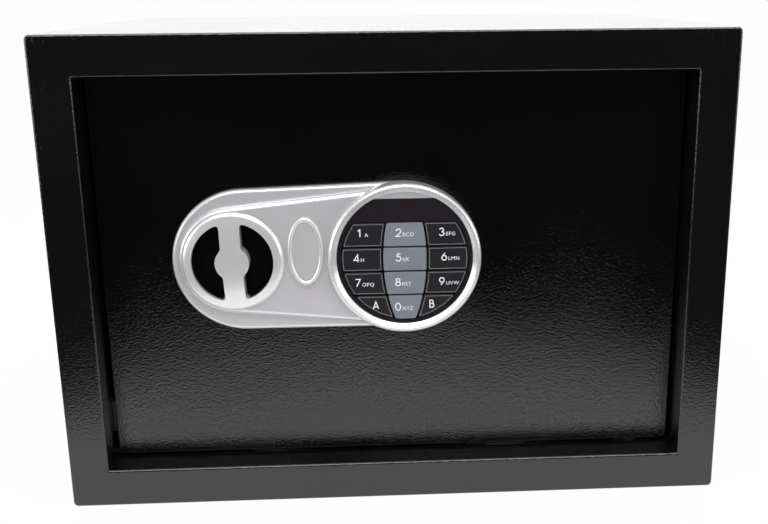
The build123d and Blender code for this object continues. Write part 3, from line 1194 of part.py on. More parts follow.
RESET_BODY_FRONT = LINER_Y - LINER_WALL - RESET_BODY_DEPTH
RESET_END = RESET_BODY_FRONT + RESET_BODY_WALL + RESET_TRAVEL + LOOSE_FIT
with BuildPart() as reset_switch:
    with BuildSketch(facing_front(LINER_Y - LINER_WALL)):
        with Locations((RESET_X, RESET_Z)):
            RectangleRounded(RESET_BODY, RESET_BODY, EDGE_BREAK)
    extrude(amount=RESET_BODY_DEPTH)
    with BuildSketch(facing_front(LINER_Y - LINER_WALL)):
        with Locations((RESET_X, RESET_Z)):
            Circle(RESET_RADIUS + RESET_GAP)
    extrude(amount=RESET_BODY_DEPTH - RESET_BODY_WALL, mode=Mode.SUBTRACT)
reset_switch.part.label = "reset_switch"
export_step(reset_switch.part, "parts/reset_switch.step")

with BuildPart() as reset_button:
    with BuildSketch(facing_front(LINER_Y + RESET_PROUD)):
        with Locations((RESET_X, RESET_Z)):
            Circle(RESET_RADIUS)
    extrude(amount=LINER_Y + RESET_PROUD - RESET_END)
    fillet(reset_button.faces().sort_by(Axis.Y)[-1].edges(), EDGE_BREAK)
reset_button.part.label = "reset_button"
export_step(reset_button.part, "parts/reset_button.step")

# ================================================================ leads
with BuildPart() as lead_grommet:
    with BuildSketch(facing_front(DOOR_BACK)):
        with Locations((GROMMET_X, GROMMET_Z)):
            Circle(GROMMET_RADIUS)
            Circle(GROMMET_BORE, mode=Mode.SUBTRACT)
    extrude(amount=DOOR_THICKNESS)
    with BuildSketch(facing_front(DOOR_BACK + GROMMET_LIP)):
        with Locations((GROMMET_X, GROMMET_Z)):
            Circle(GROMMET_RADIUS + GROMMET_LIP)
            Circle(GROMMET_BORE, mode=Mode.SUBTRACT)
    extrude(amount=GROMMET_LIP)
lead_grommet.part.label = "lead_grommet"
export_step(lead_grommet.part, "parts/lead_grommet.step")


def lead_radii(points):
    """Arc radius at each corner: 0.45 of the shorter run over the tangent of half the turn."""
    radii = []
    for before, here, after in zip(points, points[1:], points[2:]):
        run_in = Vector(*here) - Vector(*before)
        run_out = Vector(*after) - Vector(*here)
        half_turn = radians(run_in.get_angle(run_out) / 2)
        radii.append(0.45 * min(run_in.length, run_out.length) / tan(half_turn))
    return radii


# from the plug on the board's back, through the door, to the battery tray's side
TRAY_SIDE_X = BATTERY_X - TRAY_WIDTH / 2 - TRAY_WALL
KEYPAD_LEAD_ROUTE = [
    (GROMMET_X, DOOR_FRONT - BOARD_LEVEL + BOARD_PLUG_DEPTH, GROMMET_Z),
    (GROMMET_X, DOOR_BACK + 2.0, GROMMET_Z),
    (GROMMET_X + 3.0, DOOR_BACK + 10.0, GROMMET_Z - 1.5),
    (GROMMET_X + 14.0, DOOR_BACK + 16.0, GROMMET_Z - 4.0),
    (TRAY_SIDE_X, DOOR_BACK + 16.0, GROMMET_Z - 4.0),
]
SOLENOID_LEAD_ROUTE = [
    (SOLENOID_X + COIL_RADIUS, PLUNGER_Y, SOLENOID_TOP - 8.0),
    (SOLENOID_X + SOLENOID_WIDTH / 2 + 12.0, PLUNGER_Y, SOLENOID_TOP - 8.0),
    (KEYPAD_X - 46.2, PLUNGER_Y + 2.0, SOLENOID_TOP + 1.0),
    (KEYPAD_X - 2.2, PLUNGER_Y + 1.0, SOLENOID_TOP - 5.0),
    (BATTERY_X - 30.0, PLUNGER_Y, SOLENOID_TOP - 25.0),
    (BATTERY_X - 8.0, PLUNGER_Y - 1.0, BATTERY_Z + TRAY_LENGTH / 2 + 14.0),
    (BATTERY_X - 6.0, PLUNGER_Y - 1.0, BATTERY_Z + TRAY_LENGTH / 2 + TRAY_WALL),
]

with BuildPart() as keypad_lead:
    with BuildLine() as keypad_lead_line:
        FilletPolyline(*KEYPAD_LEAD_ROUTE, radius=lead_radii(KEYPAD_LEAD_ROUTE))
    with BuildSketch(Plane(origin=keypad_lead_line.line @ 0, z_dir=keypad_lead_line.line % 0)):
        Circle(LEAD_RADIUS)
    sweep(path=keypad_lead_line.line)
keypad_lead.part.label = "keypad_lead"
export_step(keypad_lead.part, "parts/keypad_lead.step")

with BuildPart() as solenoid_lead:
    with BuildLine() as solenoid_lead_line:
        FilletPolyline(*SOLENOID_LEAD_ROUTE, radius=lead_radii(SOLENOID_LEAD_ROUTE))
    with BuildSketch(Plane(origin=solenoid_lead_line.line @ 0, z_dir=solenoid_lead_line.line % 0)):
        Circle(THIN_LEAD_RADIUS)
    sweep(path=solenoid_lead_line.line)
solenoid_lead.part.label = "solenoid_lead"
export_step(solenoid_lead.part, "parts/solenoid_lead.step")

for lead_name, lead, line, radius, route in (
    ("keypad lead", keypad_lead, keypad_lead_line, LEAD_RADIUS, KEYPAD_LEAD_ROUTE),
    ("solenoid lead", solenoid_lead, solenoid_lead_line, THIN_LEAD_RADIUS, SOLENOID_LEAD_ROUTE),
):
    expected = pi * radius**2 * sum(edge.length for edge in line.line.edges())
    print(lead_name, "radii", [round(value, 1) for value in lead_radii(route)])
    print(lead_name, "volume", round(lead.part.volume, 1), "section times length", round(expected, 1))
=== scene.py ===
"""Safe deposit box: finishes, key lettering, fastener heads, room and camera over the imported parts."""

import json
import math

import bmesh
import bpy
from mathutils import Matrix, Vector


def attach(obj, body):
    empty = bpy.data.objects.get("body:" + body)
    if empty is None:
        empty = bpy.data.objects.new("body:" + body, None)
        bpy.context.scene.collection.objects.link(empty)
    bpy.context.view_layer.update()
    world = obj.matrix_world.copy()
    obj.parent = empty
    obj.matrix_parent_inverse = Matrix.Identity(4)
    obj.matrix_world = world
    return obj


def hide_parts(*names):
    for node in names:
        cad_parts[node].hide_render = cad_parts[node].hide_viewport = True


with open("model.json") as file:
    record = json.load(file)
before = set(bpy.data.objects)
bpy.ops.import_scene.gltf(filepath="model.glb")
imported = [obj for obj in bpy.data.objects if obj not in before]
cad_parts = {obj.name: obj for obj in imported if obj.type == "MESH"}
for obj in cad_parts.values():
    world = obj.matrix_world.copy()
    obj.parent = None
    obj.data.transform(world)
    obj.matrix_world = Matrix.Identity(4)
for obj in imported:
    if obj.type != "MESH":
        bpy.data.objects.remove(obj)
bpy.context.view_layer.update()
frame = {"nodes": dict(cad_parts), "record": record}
nodes = frame["nodes"]
MM = 0.001

# ---------------------------------------------------------------- places, in mm
DOOR_FACE = -107.5  # y of the door plate's front; a level is measured forward from it
KNOB = (-83.3, 133.0)  # x and z of each axis on the door
KEYPAD_AXIS = (6.2, 133.3)
CAP = (-45.5, 137.8)

# ---------------------------------------------------------------- camera
IMAGE_WIDTH, IMAGE_HEIGHT = 768, 524
FOCAL_PIXELS = 998.705
CENTRE_X, CENTRE_Y = 424.494, 247.924  # pixel that the lens axis meets
SENSOR_WIDTH = 36  # mm
PITCH, YAW, ROLL = 0.2586, -0.0471, -0.0216  # radians
EYE = (-0.00804, -0.62056, 0.27173)  # m


def place_camera():
    """The viewpoint: a little above the lid, nearly square to the door, tipped down."""
    camera = bpy.data.cameras.new("viewpoint")
    camera.sensor_width = SENSOR_WIDTH
    camera.lens = FOCAL_PIXELS * SENSOR_WIDTH / IMAGE_WIDTH
    camera.shift_x = (IMAGE_WIDTH / 2 - CENTRE_X) / IMAGE_WIDTH
    camera.shift_y = (CENTRE_Y - IMAGE_HEIGHT / 2) / IMAGE_WIDTH
    camera.clip_start, camera.clip_end = 0.01, 60
    level = Matrix(((1, 0, 0), (0, 0, -1), (0, 1, 0)))
    tip = Matrix.Rotation(ROLL, 3, "Z") @ Matrix.Rotation(YAW, 3, "Y") @ Matrix.Rotation(PITCH, 3, "X")
    looking = tip @ level
    turn = Matrix((looking[0], -looking[1], -looking[2])).transposed()
    viewpoint = bpy.data.objects.new("viewpoint", camera)
    viewpoint.matrix_world = Matrix.Translation(EYE) @ turn.to_4x4()
    bpy.context.scene.collection.objects.link(viewpoint)
    bpy.context.scene.camera = viewpoint


# ---------------------------------------------------------------- node helpers
class Tree:
    """Short words for building any node tree."""

    def __init__(self, tree):
        self.tree = tree

    def node(self, kind, links=None, **settings):
        """A node with its settings; each link is a socket to join or a value to set."""
        made = self.tree.nodes.new(kind)
        for name, value in settings.items():
            setattr(made, name, value)
        for socket, value in (links or {}).items():
            target = made.inputs[socket]
            if isinstance(value, bpy.types.NodeSocket):
                self.tree.links.new(value, target)
            else:
                target.default_value = value
        return made

    def math(self, operation, *values):
        return self.node("ShaderNodeMath", dict(enumerate(values)), operation=operation).outputs[0]


class Graph(Tree):
    """The shader tree of one material or world, begun afresh."""

    def __init__(self, owner, output="ShaderNodeOutputMaterial"):
        owner.use_nodes = True
        super().__init__(owner.node_tree)
        self.tree.nodes.clear()
        self.out = self.tree.nodes.new(output)

    def place(self):
        return self.node("ShaderNodeTexCoord").outputs["Object"]

    def noise(self, where, scale, detail=2.0, roughness=0.5, distortion=0.0):
        links = {
            "Vector": where, "Scale": scale, "Detail": detail,
            "Roughness": roughness, "Distortion": distortion,
        }
        return self.node("ShaderNodeTexNoise", links).outputs["Fac"]

    def cells(self, where, scale, feature="F1", smooth=0.0):
        """Distance to the nearest cell point, without or with smoothing."""
        links = {"Vector": where, "Scale": scale}
        if feature == "SMOOTH_F1":
            links["Smoothness"] = smooth
        return self.node("ShaderNodeTexVoronoi", links, feature=feature).outputs["Distance"]

    def span(self, value, low, high, to_low, to_high, smooth=False):
        """The value carried from one range to another and held at its ends."""
        return self.node(
            "ShaderNodeMapRange",
            {"Value": value, "From Min": low, "From Max": high, "To Min": to_low, "To Max": to_high},
            interpolation_type="SMOOTHSTEP" if smooth else "LINEAR",
        ).outputs["Result"]

    def blend(self, factor, first, second):
        """A mix of two colours, each a socket or three numbers."""
        made = self.node("ShaderNodeMix", data_type="RGBA")
        for index, value in ((0, factor), (6, first), (7, second)):
            if isinstance(value, bpy.types.NodeSocket):
                self.tree.links.new(value, made.inputs[index])
            else:
                made.inputs[index].default_value = value if index == 0 else rgb(*value)
        return made.outputs[2]

    def bump(self, height, strength, distance):
        links = {"Height": height, "Strength": strength, "Distance": distance}
        return self.node("ShaderNodeBump", links).outputs["Normal"]

    def mix(self, factor, first, second):
        return self.node("ShaderNodeMixShader", {0: factor, 1: first, 2: second}).outputs[0]

    def finish(self, shader):
        self.tree.links.new(shader, self.out.inputs["Surface"])

    def surface(self, **sockets):
        """Ends the tree with the main shader; a name's underscores stand for spaces."""
        links = {name.replace("_", " "): value for name, value in sockets.items()}
        self.finish(self.node("ShaderNodeBsdfPrincipled", links).outputs[0])


def rgb(*values):
    return (*values, 1.0)


def finish_named(name, flat_colour):
    """A new material, with its plain colour for flat views, and its graph."""
    material = bpy.data.materials.new(name)
    material.diffuse_color = rgb(*flat_colour)
    return material, Graph(material)


# ---------------------------------------------------------------- finishes
def powder_coat(name, colour, grain, depth, roughness, clear=0.75, blur=0.09, pebble=0.32):
    """Powder coat: low wrinkles a little over 1 mm across with finer pebbling, drifting in strength.

    The grain is wrinkles per metre, the depth is in m, and a clear coat lies over it unless clear is 0.
    """
    material, g = finish_named(name, colour)
    where = g.place()
    wrinkles = g.noise(where, grain, 2.0, 0.5, 0.35)
    pebbles = g.cells(where, grain * 1.7, "SMOOTH_F1", 0.7)
    drift = g.noise(where, 16.0, 3.0, 0.55)
    amount = g.span(drift, 0.3, 0.7, 0.75, 1.15)
    height = g.math("MULTIPLY", amount, g.math("MULTIPLY_ADD", pebbles, -pebble, wrinkles))
    normal = g.bump(height, 1.0, depth)
    tone = g.blend(g.span(drift, 0.3, 0.7, 0, 1), colour, [c * 1.35 for c in colour])
    rough = g.math("MULTIPLY_ADD", drift, 0.06, roughness - 0.03)
    g.surface(
        Base_Color=tone, Roughness=rough, Normal=normal, IOR=1.5,
        Coat_Weight=clear, Coat_Roughness=blur, Coat_IOR=1.5, Coat_Normal=normal,
    )
    return material


def silver_paint(name, colour, roughness, metallic=0.6, flake=0.05):
    """Satin silver lacquer: fine flake, faint cloudiness, and a clear coat that lights the rounded edges."""
    material, g = finish_named(name, colour)
    where = g.place()
    flakes = g.noise(where, 5200.0, 1.0, 0.6)
    cloud = g.noise(where, 34.0, 3.0, 0.5)
    shade = g.math("MULTIPLY_ADD", flakes, flake, g.math("MULTIPLY_ADD", cloud, 0.06, -0.03 - flake / 2))
    light = g.math("ADD", 0.5, shade)
    tone = g.blend(light, [c * 0.86 for c in colour], [min(1.0, c * 1.14) for c in colour])
    rough = g.math("MULTIPLY_ADD", cloud, 0.08, roughness - 0.04)
    normal = g.bump(flakes, 0.05, 0.00004)
    g.surface(
        Base_Color=tone, Metallic=metallic, Roughness=rough, Normal=normal, IOR=1.5,
        Coat_Weight=0.5, Coat_Roughness=0.12,
    )
    return material


def worked_metal(name, colour, roughness, direction=(1, 1, 1), scratch=0.12, cloud_size=60.0, blotch=0.1):
    """Plated or brushed steel: streaks along the work, a mottled plating and fine scratches."""
    material, g = finish_named(name, colour)
    where = g.place()
    stretched = g.node("ShaderNodeMapping", {"Vector": where, "Scale": direction}).outputs[0]
    streaks = g.noise(stretched, 900.0, 3.0, 0.65)
    mottle = g.noise(where, cloud_size, 4.0, 0.6)
    clouds = g.math("MULTIPLY_ADD", mottle, blotch, 0.5 - (scratch + blotch) / 2)
    value = g.math("MULTIPLY_ADD", streaks, scratch, clouds)
    tone = g.blend(value, [c * 0.7 for c in colour], [min(1.0, c * 1.3) for c in colour])
    rough = g.math("MULTIPLY_ADD", streaks, 0.12, g.math("MULTIPLY_ADD", mottle, 0.1, roughness - 0.11))
    normal = g.bump(streaks, 0.1, 0.00003)
    g.surface(Base_Color=tone, Metallic=1.0, Roughness=rough, Normal=normal)
    return material


def moulded_plastic(name, colour, roughness=0.35, grain=0.06, cloud=0.1, ior=1.48):
    """Injection moulded plastic with a very fine spark-eroded grain."""
    material, g = finish_named(name, colour)
    where = g.place()
    fine = g.noise(where, 3600.0, 2.0, 0.6)
    slow = g.noise(where, 40.0, 2.0, 0.5)
    tone = g.blend(slow, [c * (1 - cloud) for c in colour], [c * (1 + cloud) for c in colour])
    rough = g.math("ADD", roughness - 0.03, g.math("MULTIPLY", slow, 0.06))
    g.surface(Base_Color=tone, Roughness=rough, Normal=g.bump(fine, grain, 0.00005), IOR=ior)
    return material


def soft_rubber(name, colour):
    """Matt rubber or soft vinyl with a bloom."""
    material, g = finish_named(name, colour)
    where = g.place()
    bloom = g.noise(where, 120.0, 4.0, 0.6)
    tone = g.blend(bloom, [c * 0.8 for c in colour], [c * 1.3 for c in colour])
    g.surface(Base_Color=tone, Roughness=0.62, Normal=g.bump(bloom, 0.15, 0.0001), IOR=1.45, Sheen_Weight=0.1)
    return material


def needle_felt(name, colour):
    """Ribbed needle felt: fibres laid every way, pressed into low ribs."""
    material, g = finish_named(name, colour)
    where = g.place()
    fibres = []
    for turn, scale in ((0.3, (1, 14, 1)), (1.4, (1, 11, 1)), (2.3, (1, 16, 1))):
        laid = g.node("ShaderNodeMapping", {"Vector": where, "Rotation": (0, 0, turn), "Scale": scale})
        fibres.append(g.noise(laid.outputs[0], 260.0, 2.0, 0.6, 1.2))
    mix = g.math("ADD", fibres[0], g.math("MULTIPLY", g.math("ADD", fibres[1], fibres[2]), 0.8))
    speck = g.noise(where, 1500.0, 2.0, 0.7)
    value = g.span(g.math("MULTIPLY_ADD", speck, 0.5, mix), 1.1, 1.9, 0, 1)
    tone = g.blend(value, [c * 0.45 for c in colour], [c * 2.2 for c in colour])
    normal = g.bump(mix, 0.9, 0.0006)
    g.surface(Base_Color=tone, Roughness=0.95, Normal=normal, Sheen_Weight=0.35, Sheen_Roughness=0.5, IOR=1.3)
    return material


def circuit_green(name):
    """Solder mask with buried tracks and a scatter of pads."""
    material, g = finish_named(name, (0.02, 0.16, 0.06))
    where = g.place()
    grid = g.node("ShaderNodeTexBrick", {
        "Vector": g.node("ShaderNodeMapping", {"Vector": where, "Rotation": (math.pi / 2, 0, 0)}).outputs[0],
        "Scale": 160.0, "Color1": rgb(0.012, 0.13, 0.045), "Color2": rgb(0.016, 0.16, 0.055),
        "Mortar": rgb(0.03, 0.26, 0.1), "Mortar Size": 0.03,
    }).outputs["Color"]
    pads = g.span(g.cells(where, 240.0), 0.16, 0.2, 1, 0)
    tone = g.blend(pads, grid, (0.6, 0.58, 0.5))
    g.surface(Base_Color=tone, Roughness=0.35, Metallic=pads, Normal=g.bump(pads, 0.3, 0.0001))
    return material


def wound_tape(name, colour):
    """Cloth tape wound over the coil."""
    material, g = finish_named(name, colour)
    where = g.place()
    bands = g.node("ShaderNodeTexWave", {"Vector": where, "Scale": 60.0, "Distortion": 0.6, "Detail": 1.0},
                   bands_direction="Z").outputs["Fac"]
    weave = g.noise(where, 1800.0, 2.0, 0.6)
    tone = g.blend(bands, [c * 0.75 for c in colour], [c * 1.3 for c in colour])
    g.surface(Base_Color=tone, Roughness=0.5, Normal=g.bump(g.math("ADD", bands, weave), 0.3, 0.0002))
    return material


def battery_sleeve(name):
    """Shrunk sleeve, dark with a copper coloured end, banded along the cell."""
    material, g = finish_named(name, (0.06, 0.06, 0.07))
    where = g.place()
    height = g.node("ShaderNodeSeparateXYZ", {0: where}).outputs["Z"]
    band = g.span(height, 0.1366, 0.1372, 0, 1)  # the copper end starts here, in m above the base
    scuff = g.noise(where, 300.0, 3.0, 0.6)
    sleeve = g.blend(band, (0.012, 0.012, 0.014), (0.5, 0.22, 0.07))
    tone = g.blend(g.math("MULTIPLY", scuff, 0.25), sleeve, (0.2, 0.2, 0.2))
    shine = g.math("MULTIPLY", band, 0.6)
    g.surface(Base_Color=tone, Roughness=0.3, Metallic=shine, Normal=g.bump(scuff, 0.05, 0.0001))
    return material


finishes = {
    "black_coat": powder_coat(
        "black_pebble_coat", (0.003, 0.003, 0.0033), grain=850.0, depth=0.00018, roughness=0.09, blur=0.05,
        pebble=0.4,
    ),
    "wrap_coat": powder_coat(
        "wrap_pebble_coat", (0.003, 0.003, 0.0033), grain=740.0, depth=0.0001, roughness=0.1,
    ),
    "door_coat": powder_coat(
        "door_pebble_coat", (0.0014, 0.0014, 0.0016), grain=850.0, depth=0.00019, roughness=0.06, blur=0.03,
        pebble=0.4,
    ),
    "liner_coat": powder_coat(
        "liner_fine_coat", (0.008, 0.008, 0.009), grain=1000.0, depth=0.00012, roughness=0.32, clear=0.0,
    ),
    "silver_plate": silver_paint("satin_silver_lacquer", (0.81, 0.79, 0.82), roughness=0.37, metallic=0.62),
    "knob_silver": silver_paint("knob_silver_lacquer", (0.84, 0.825, 0.83), roughness=0.31),
    "ring_silver": silver_paint("ring_silver_lacquer", (0.82, 0.82, 0.83), roughness=0.28, flake=0.02),
    "keypad_black": moulded_plastic(
        "keypad_black_gloss", (0.0145, 0.012, 0.0155), roughness=0.14, grain=0.02,
    ),
    "dish_black": moulded_plastic(
        "dish_matt_black", (0.001, 0.001, 0.0011), roughness=0.85, grain=0.1, ior=1.2,
    ),
    "key_black": moulded_plastic("key_black_satin", (0.0155, 0.013, 0.016), roughness=0.3, grain=0.05),
    "key_grey": moulded_plastic("key_blue_grey", (0.165, 0.176, 0.215), roughness=0.34, grain=0.05),
    "zinc_steel": worked_metal(
        "zinc_plated_sheet", (0.6, 0.6, 0.58), roughness=0.36, direction=(1, 1, 0.08), scratch=0.14,
        cloud_size=45.0, blotch=0.3,
    ),
    "bright_steel": worked_metal(
        "bright_plated_steel", (0.72, 0.72, 0.73), roughness=0.16, direction=(0.05, 1, 1), scratch=0.1,
    ),
    "fastener_steel": worked_metal(
        "zinc_fastener", (0.6, 0.59, 0.55), roughness=0.28, scratch=0.12, cloud_size=200.0, blotch=0.2,
    ),
    "washer_black": soft_rubber("washer_black_nylon", (0.006, 0.006, 0.0065)),
    "black_rubber": soft_rubber("matt_black_rubber", (0.014, 0.014, 0.014)),
    "red_lead": soft_rubber("red_lead_sleeve", (0.45, 0.02, 0.014)),
    "carpet": needle_felt("charcoal_needle_felt", (0.02, 0.02, 0.022)),
    "fibre": soft_rubber("felt_fibre_grey", (0.035, 0.035, 0.038)),
    "inner_plastic": moulded_plastic("inner_black_plastic", (0.018, 0.018, 0.019), roughness=0.45, grain=0.2),
    "reset_red": moulded_plastic("reset_red_plastic", (0.5, 0.014, 0.012), roughness=0.3, grain=0.05),
    "board_green": circuit_green("board_solder_mask"),
    "light_lens": moulded_plastic("lamp_dark_red_lens", (0.028, 0.008, 0.009), roughness=0.15, grain=0.0),
    "coil_tape": wound_tape("coil_yellow_tape", (0.5, 0.3, 0.03)),
    "battery_wrap": battery_sleeve("cell_sleeve"),
    "contact_nickel": worked_metal("nickel_contact", (0.7, 0.68, 0.62), roughness=0.22),
    "label_white": moulded_plastic("label_white_ink", (0.72, 0.72, 0.74), roughness=0.5, grain=0.0),
    "outline_grey": moulded_plastic("outline_grey_ink", (0.2, 0.195, 0.205), roughness=0.5, grain=0.0),
}

# each node takes the finish of its slot, apart from these
node_finish = {row["node"]: row["material_slot"] for row in frame["record"]["subparts"]}
node_finish.update({
    "body_wrap": "wrap_coat",
    "door_stops": "black_coat",
    "strike_plate": "black_coat",
    "door_plate": "door_coat",
    "hinge_washers": "washer_black",
    "knob_grip": "knob_silver",
    "keypad_bezel": "ring_silver",
})


def dress_parts():
    """Gives every CAD node its finish."""
    for name, piece in nodes.items():
        material = finishes[node_finish[name]]
        slots = piece.data.materials
        if not slots:
            slots.append(material)
        for index in range(len(slots)):
            slots[index] = material


# ---------------------------------------------------------------- new pieces
def put_in(made):
    """Puts an object into the scene."""
    bpy.context.scene.collection.objects.link(made)
    return made


def settle(made):
    """The object's mesh with its modifiers worked in."""
    bpy.context.view_layer.update()
    return bpy.data.meshes.new_from_object(made.evaluated_get(bpy.context.evaluated_depsgraph_get()))


def piece_from(bm, name, material):
    """A flat-shaded object at the origin from a bmesh, which is freed."""
    mesh = bpy.data.meshes.new(name)
    bm.to_mesh(mesh)
    bm.free()
    mesh.materials.append(material)
    for face in mesh.polygons:
        face.use_smooth = False
    return put_in(bpy.data.objects.new(name, mesh))


def solid_from(outline, low, high):
    """A prism with the outline's (x, z) points in mm, between two levels, as a bmesh."""
    bm = bmesh.new()
    rings = [[bm.verts.new((x * MM, face_y(level), z * MM)) for x, z in outline] for level in (low, high)]
    bm.faces.new(rings[0])
    bm.faces.new(rings[1])
    count = len(outline)
    for i in range(count):
        j = (i + 1) % count
        bm.faces.new((rings[0][i], rings[0][j], rings[1][j], rings[1][i]))
    bmesh.ops.recalc_face_normals(bm, faces=bm.faces)
    return bm


def face_y(level):
    """World y of a level, in mm forward of the door's face."""
    return (DOOR_FACE - level) * MM


def arc(centre, radius, start, end, steps):
    """Points (r, level) along an arc between two angles, in degrees."""
    angles = [math.radians(start + (end - start) * i / steps) for i in range(steps + 1)]
    return [(centre[0] + radius * math.cos(t), centre[1] + radius * math.sin(t)) for t in angles]


def turned(profile, centre, segments, taper=None):
    """A profile of (r, level) in mm turned about an axis along Y.

    With taper=(a, b), r is an inset from the ellipse with those half axes.
    """
    bm = bmesh.new()
    columns = []
    for i in range(segments):
        t = 2 * math.pi * i / segments
        column = []
        for r, level in profile:
            across, up = (r, r) if taper is None else (taper[0] - r, taper[1] - r)
            if across <= 1e-6:
                across = up = 0.0
            x, z = centre[0] + across * math.cos(t), centre[1] + up * math.sin(t)
            column.append(bm.verts.new((x * MM, face_y(level), z * MM)))
        columns.append(column)
    closed = profile[0] == profile[-1]
    for i in range(segments):
        one, two = columns[i], columns[(i + 1) % segments]
        for k in range(len(profile) - 1):
            bm.faces.new((one[k], one[k + 1], two[k + 1], two[k]))
    bmesh.ops.remove_doubles(bm, verts=bm.verts, dist=0.0000005)
    bmesh.ops.dissolve_degenerate(bm, edges=bm.edges, dist=0.0000005)
    if not closed:
        bmesh.ops.holes_fill(bm, edges=[e for e in bm.edges if e.is_boundary], sides=0)
    bmesh.ops.recalc_face_normals(bm, faces=bm.faces)
    return bm


def finish_piece(made, bevel=0.0, cutters=(), sharp=35.0):
    """Cuts, bevels and settles a piece's mesh, so that no modifier stays on it."""
    for cutter in cutters:
        cut = made.modifiers.new("cut", "BOOLEAN")
        cut.operation, cut.solver, cut.object = "DIFFERENCE", "EXACT", cutter
    if bevel:
        edge = made.modifiers.new("edge", "BEVEL")
        edge.width, edge.segments, edge.limit_method = bevel, 3, "ANGLE"
        edge.angle_limit = math.radians(40)
        edge.use_clamp_overlap = True
    mesh = settle(made)
    made.modifiers.clear()
    made.data = mesh
    for cutter in cutters:
        bpy.data.objects.remove(cutter)
    for face in mesh.polygons:
        face.use_smooth = True
    mesh.set_sharp_from_angle(angle=math.radians(sharp))


def rounded(corners, steps=6):
    """An outline of (x, z, radius) corners, each rounded off where its radius isn't 0."""
    points = []
    count = len(corners)
    for i, (x, z, radius) in enumerate(corners):
        if not radius:
            points.append((x, z))
            continue
        here = Vector((x, z))
        before = Vector(corners[i - 1][:2]) - here
        after = Vector(corners[(i + 1) % count][:2]) - here
        start, end = here + before.normalized() * radius, here + after.normalized() * radius
        for k in range(steps + 1):
            t = k / steps
            p = start * (1 - t) ** 2 + here * 2 * t * (1 - t) + end * t * t
            points.append((p.x, p.y))
    return points


KNOB_CREST, KNOB_FOOT, KNOB_BACK = 13.0, 8.35, 4.6  # levels of the dome's top, the rim's foot and the back
DOME_RADIUS, DOME_EDGE, RIM_ROLL = 104.0, 24.2, 3.515  # dome's arc, where it ends, and the rim's roll
DOME_STEPS, ROLL_STEPS, KNOB_SEGMENTS = 26, 14, 200
BOSS_RADIUS = 21.0  # the part of the knob behind its rim
GAP_RADIUS, HUB_RADIUS, HALF_BAR, BAR_LEAN = 21.2, 8.8, 5.25, math.radians(2.4)
GAP_CORNER, HUB_CORNER = 2.8, 1.2  # rounding where the bar's edge meets each circle
GAP_STEPS, HUB_STEPS = 48, 20  # the steps beside a corner are left out, so that its rounding has room
GAP_LEVELS = (2.0, 16.0)  # the cut starts behind the knob and ends in front of it
KNOB_EDGE = 0.32  # bevel


def finger_gap(side):
    """Outline of one half-moon gap, from the opening's circle to the bar and hub; side is 1 or -1."""
    top, near = math.acos(HALF_BAR / GAP_RADIUS), math.acos(HALF_BAR / HUB_RADIUS)
    corners = [(HALF_BAR, GAP_RADIUS * math.sin(top), GAP_CORNER)]
    for i in range(3, GAP_STEPS - 2):
        t = top - 2 * top * i / GAP_STEPS
        corners.append((GAP_RADIUS * math.cos(t), GAP_RADIUS * math.sin(t), 0))
    corners.append((HALF_BAR, -GAP_RADIUS * math.sin(top), GAP_CORNER))
    corners.append((HALF_BAR, -HUB_RADIUS * math.sin(near), HUB_CORNER))
    for i in range(2, HUB_STEPS - 1):
        t = -near + 2 * near * i / HUB_STEPS
        corners.append((HUB_RADIUS * math.cos(t), HUB_RADIUS * math.sin(t), 0))
    corners.append((HALF_BAR, HUB_RADIUS * math.sin(near), HUB_CORNER))
    cos_lean, sin_lean = math.cos(BAR_LEAN), math.sin(BAR_LEAN)
    return [
        (KNOB[0] + x * side * cos_lean - z * sin_lean, KNOB[1] + x * side * sin_lean + z * cos_lean)
        for x, z in rounded(corners)
    ]


def make_knob():
    """The low domed knob, rolled over at its rim, with its two finger gaps."""
    slope = math.degrees(math.asin(DOME_EDGE / DOME_RADIUS))
    dome = arc((0, KNOB_CREST - DOME_RADIUS), DOME_RADIUS, 90, 90 - slope, DOME_STEPS)
    roll_centre = (
        DOME_EDGE - RIM_ROLL * math.sin(math.radians(slope)),
        dome[-1][1] - RIM_ROLL * math.cos(math.radians(slope)),
    )
    foot = math.degrees(math.asin((KNOB_FOOT - roll_centre[1]) / RIM_ROLL))
    roll = arc(roll_centre, RIM_ROLL, 90 - slope, foot, ROLL_STEPS)
    boss = [(BOSS_RADIUS, KNOB_FOOT), (BOSS_RADIUS, KNOB_BACK), (0, KNOB_BACK)]
    profile = [(0, KNOB_BACK), (0, KNOB_CREST)] + dome[1:] + roll[1:] + boss
    silver = finishes["knob_silver"]
    knob = piece_from(turned(profile, KNOB, KNOB_SEGMENTS), "knob_domed_grip", silver)
    cutters = [piece_from(solid_from(finger_gap(side), *GAP_LEVELS), "gap", silver) for side in (1, -1)]
    finish_piece(knob, KNOB_EDGE * MM, cutters)
    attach(knob, "knob")
    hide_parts("knob_grip")


RING_RADIUS, RING_BORE, RING_FOOT, RING_SEGMENTS = 40.0, 35.62, 4.0, 220
LIP_RADIUS, LIP_LEVEL = 2.0, 10.9
SEGMENT_RADIUS, SEGMENT_LOW = 35.55, 31.9  # its outer arc, and its straight edge above the keypad's axis
SEGMENT_LEVELS, SEGMENT_EDGE = (8.3, 10.15), 0.18  # back and front, and bevel


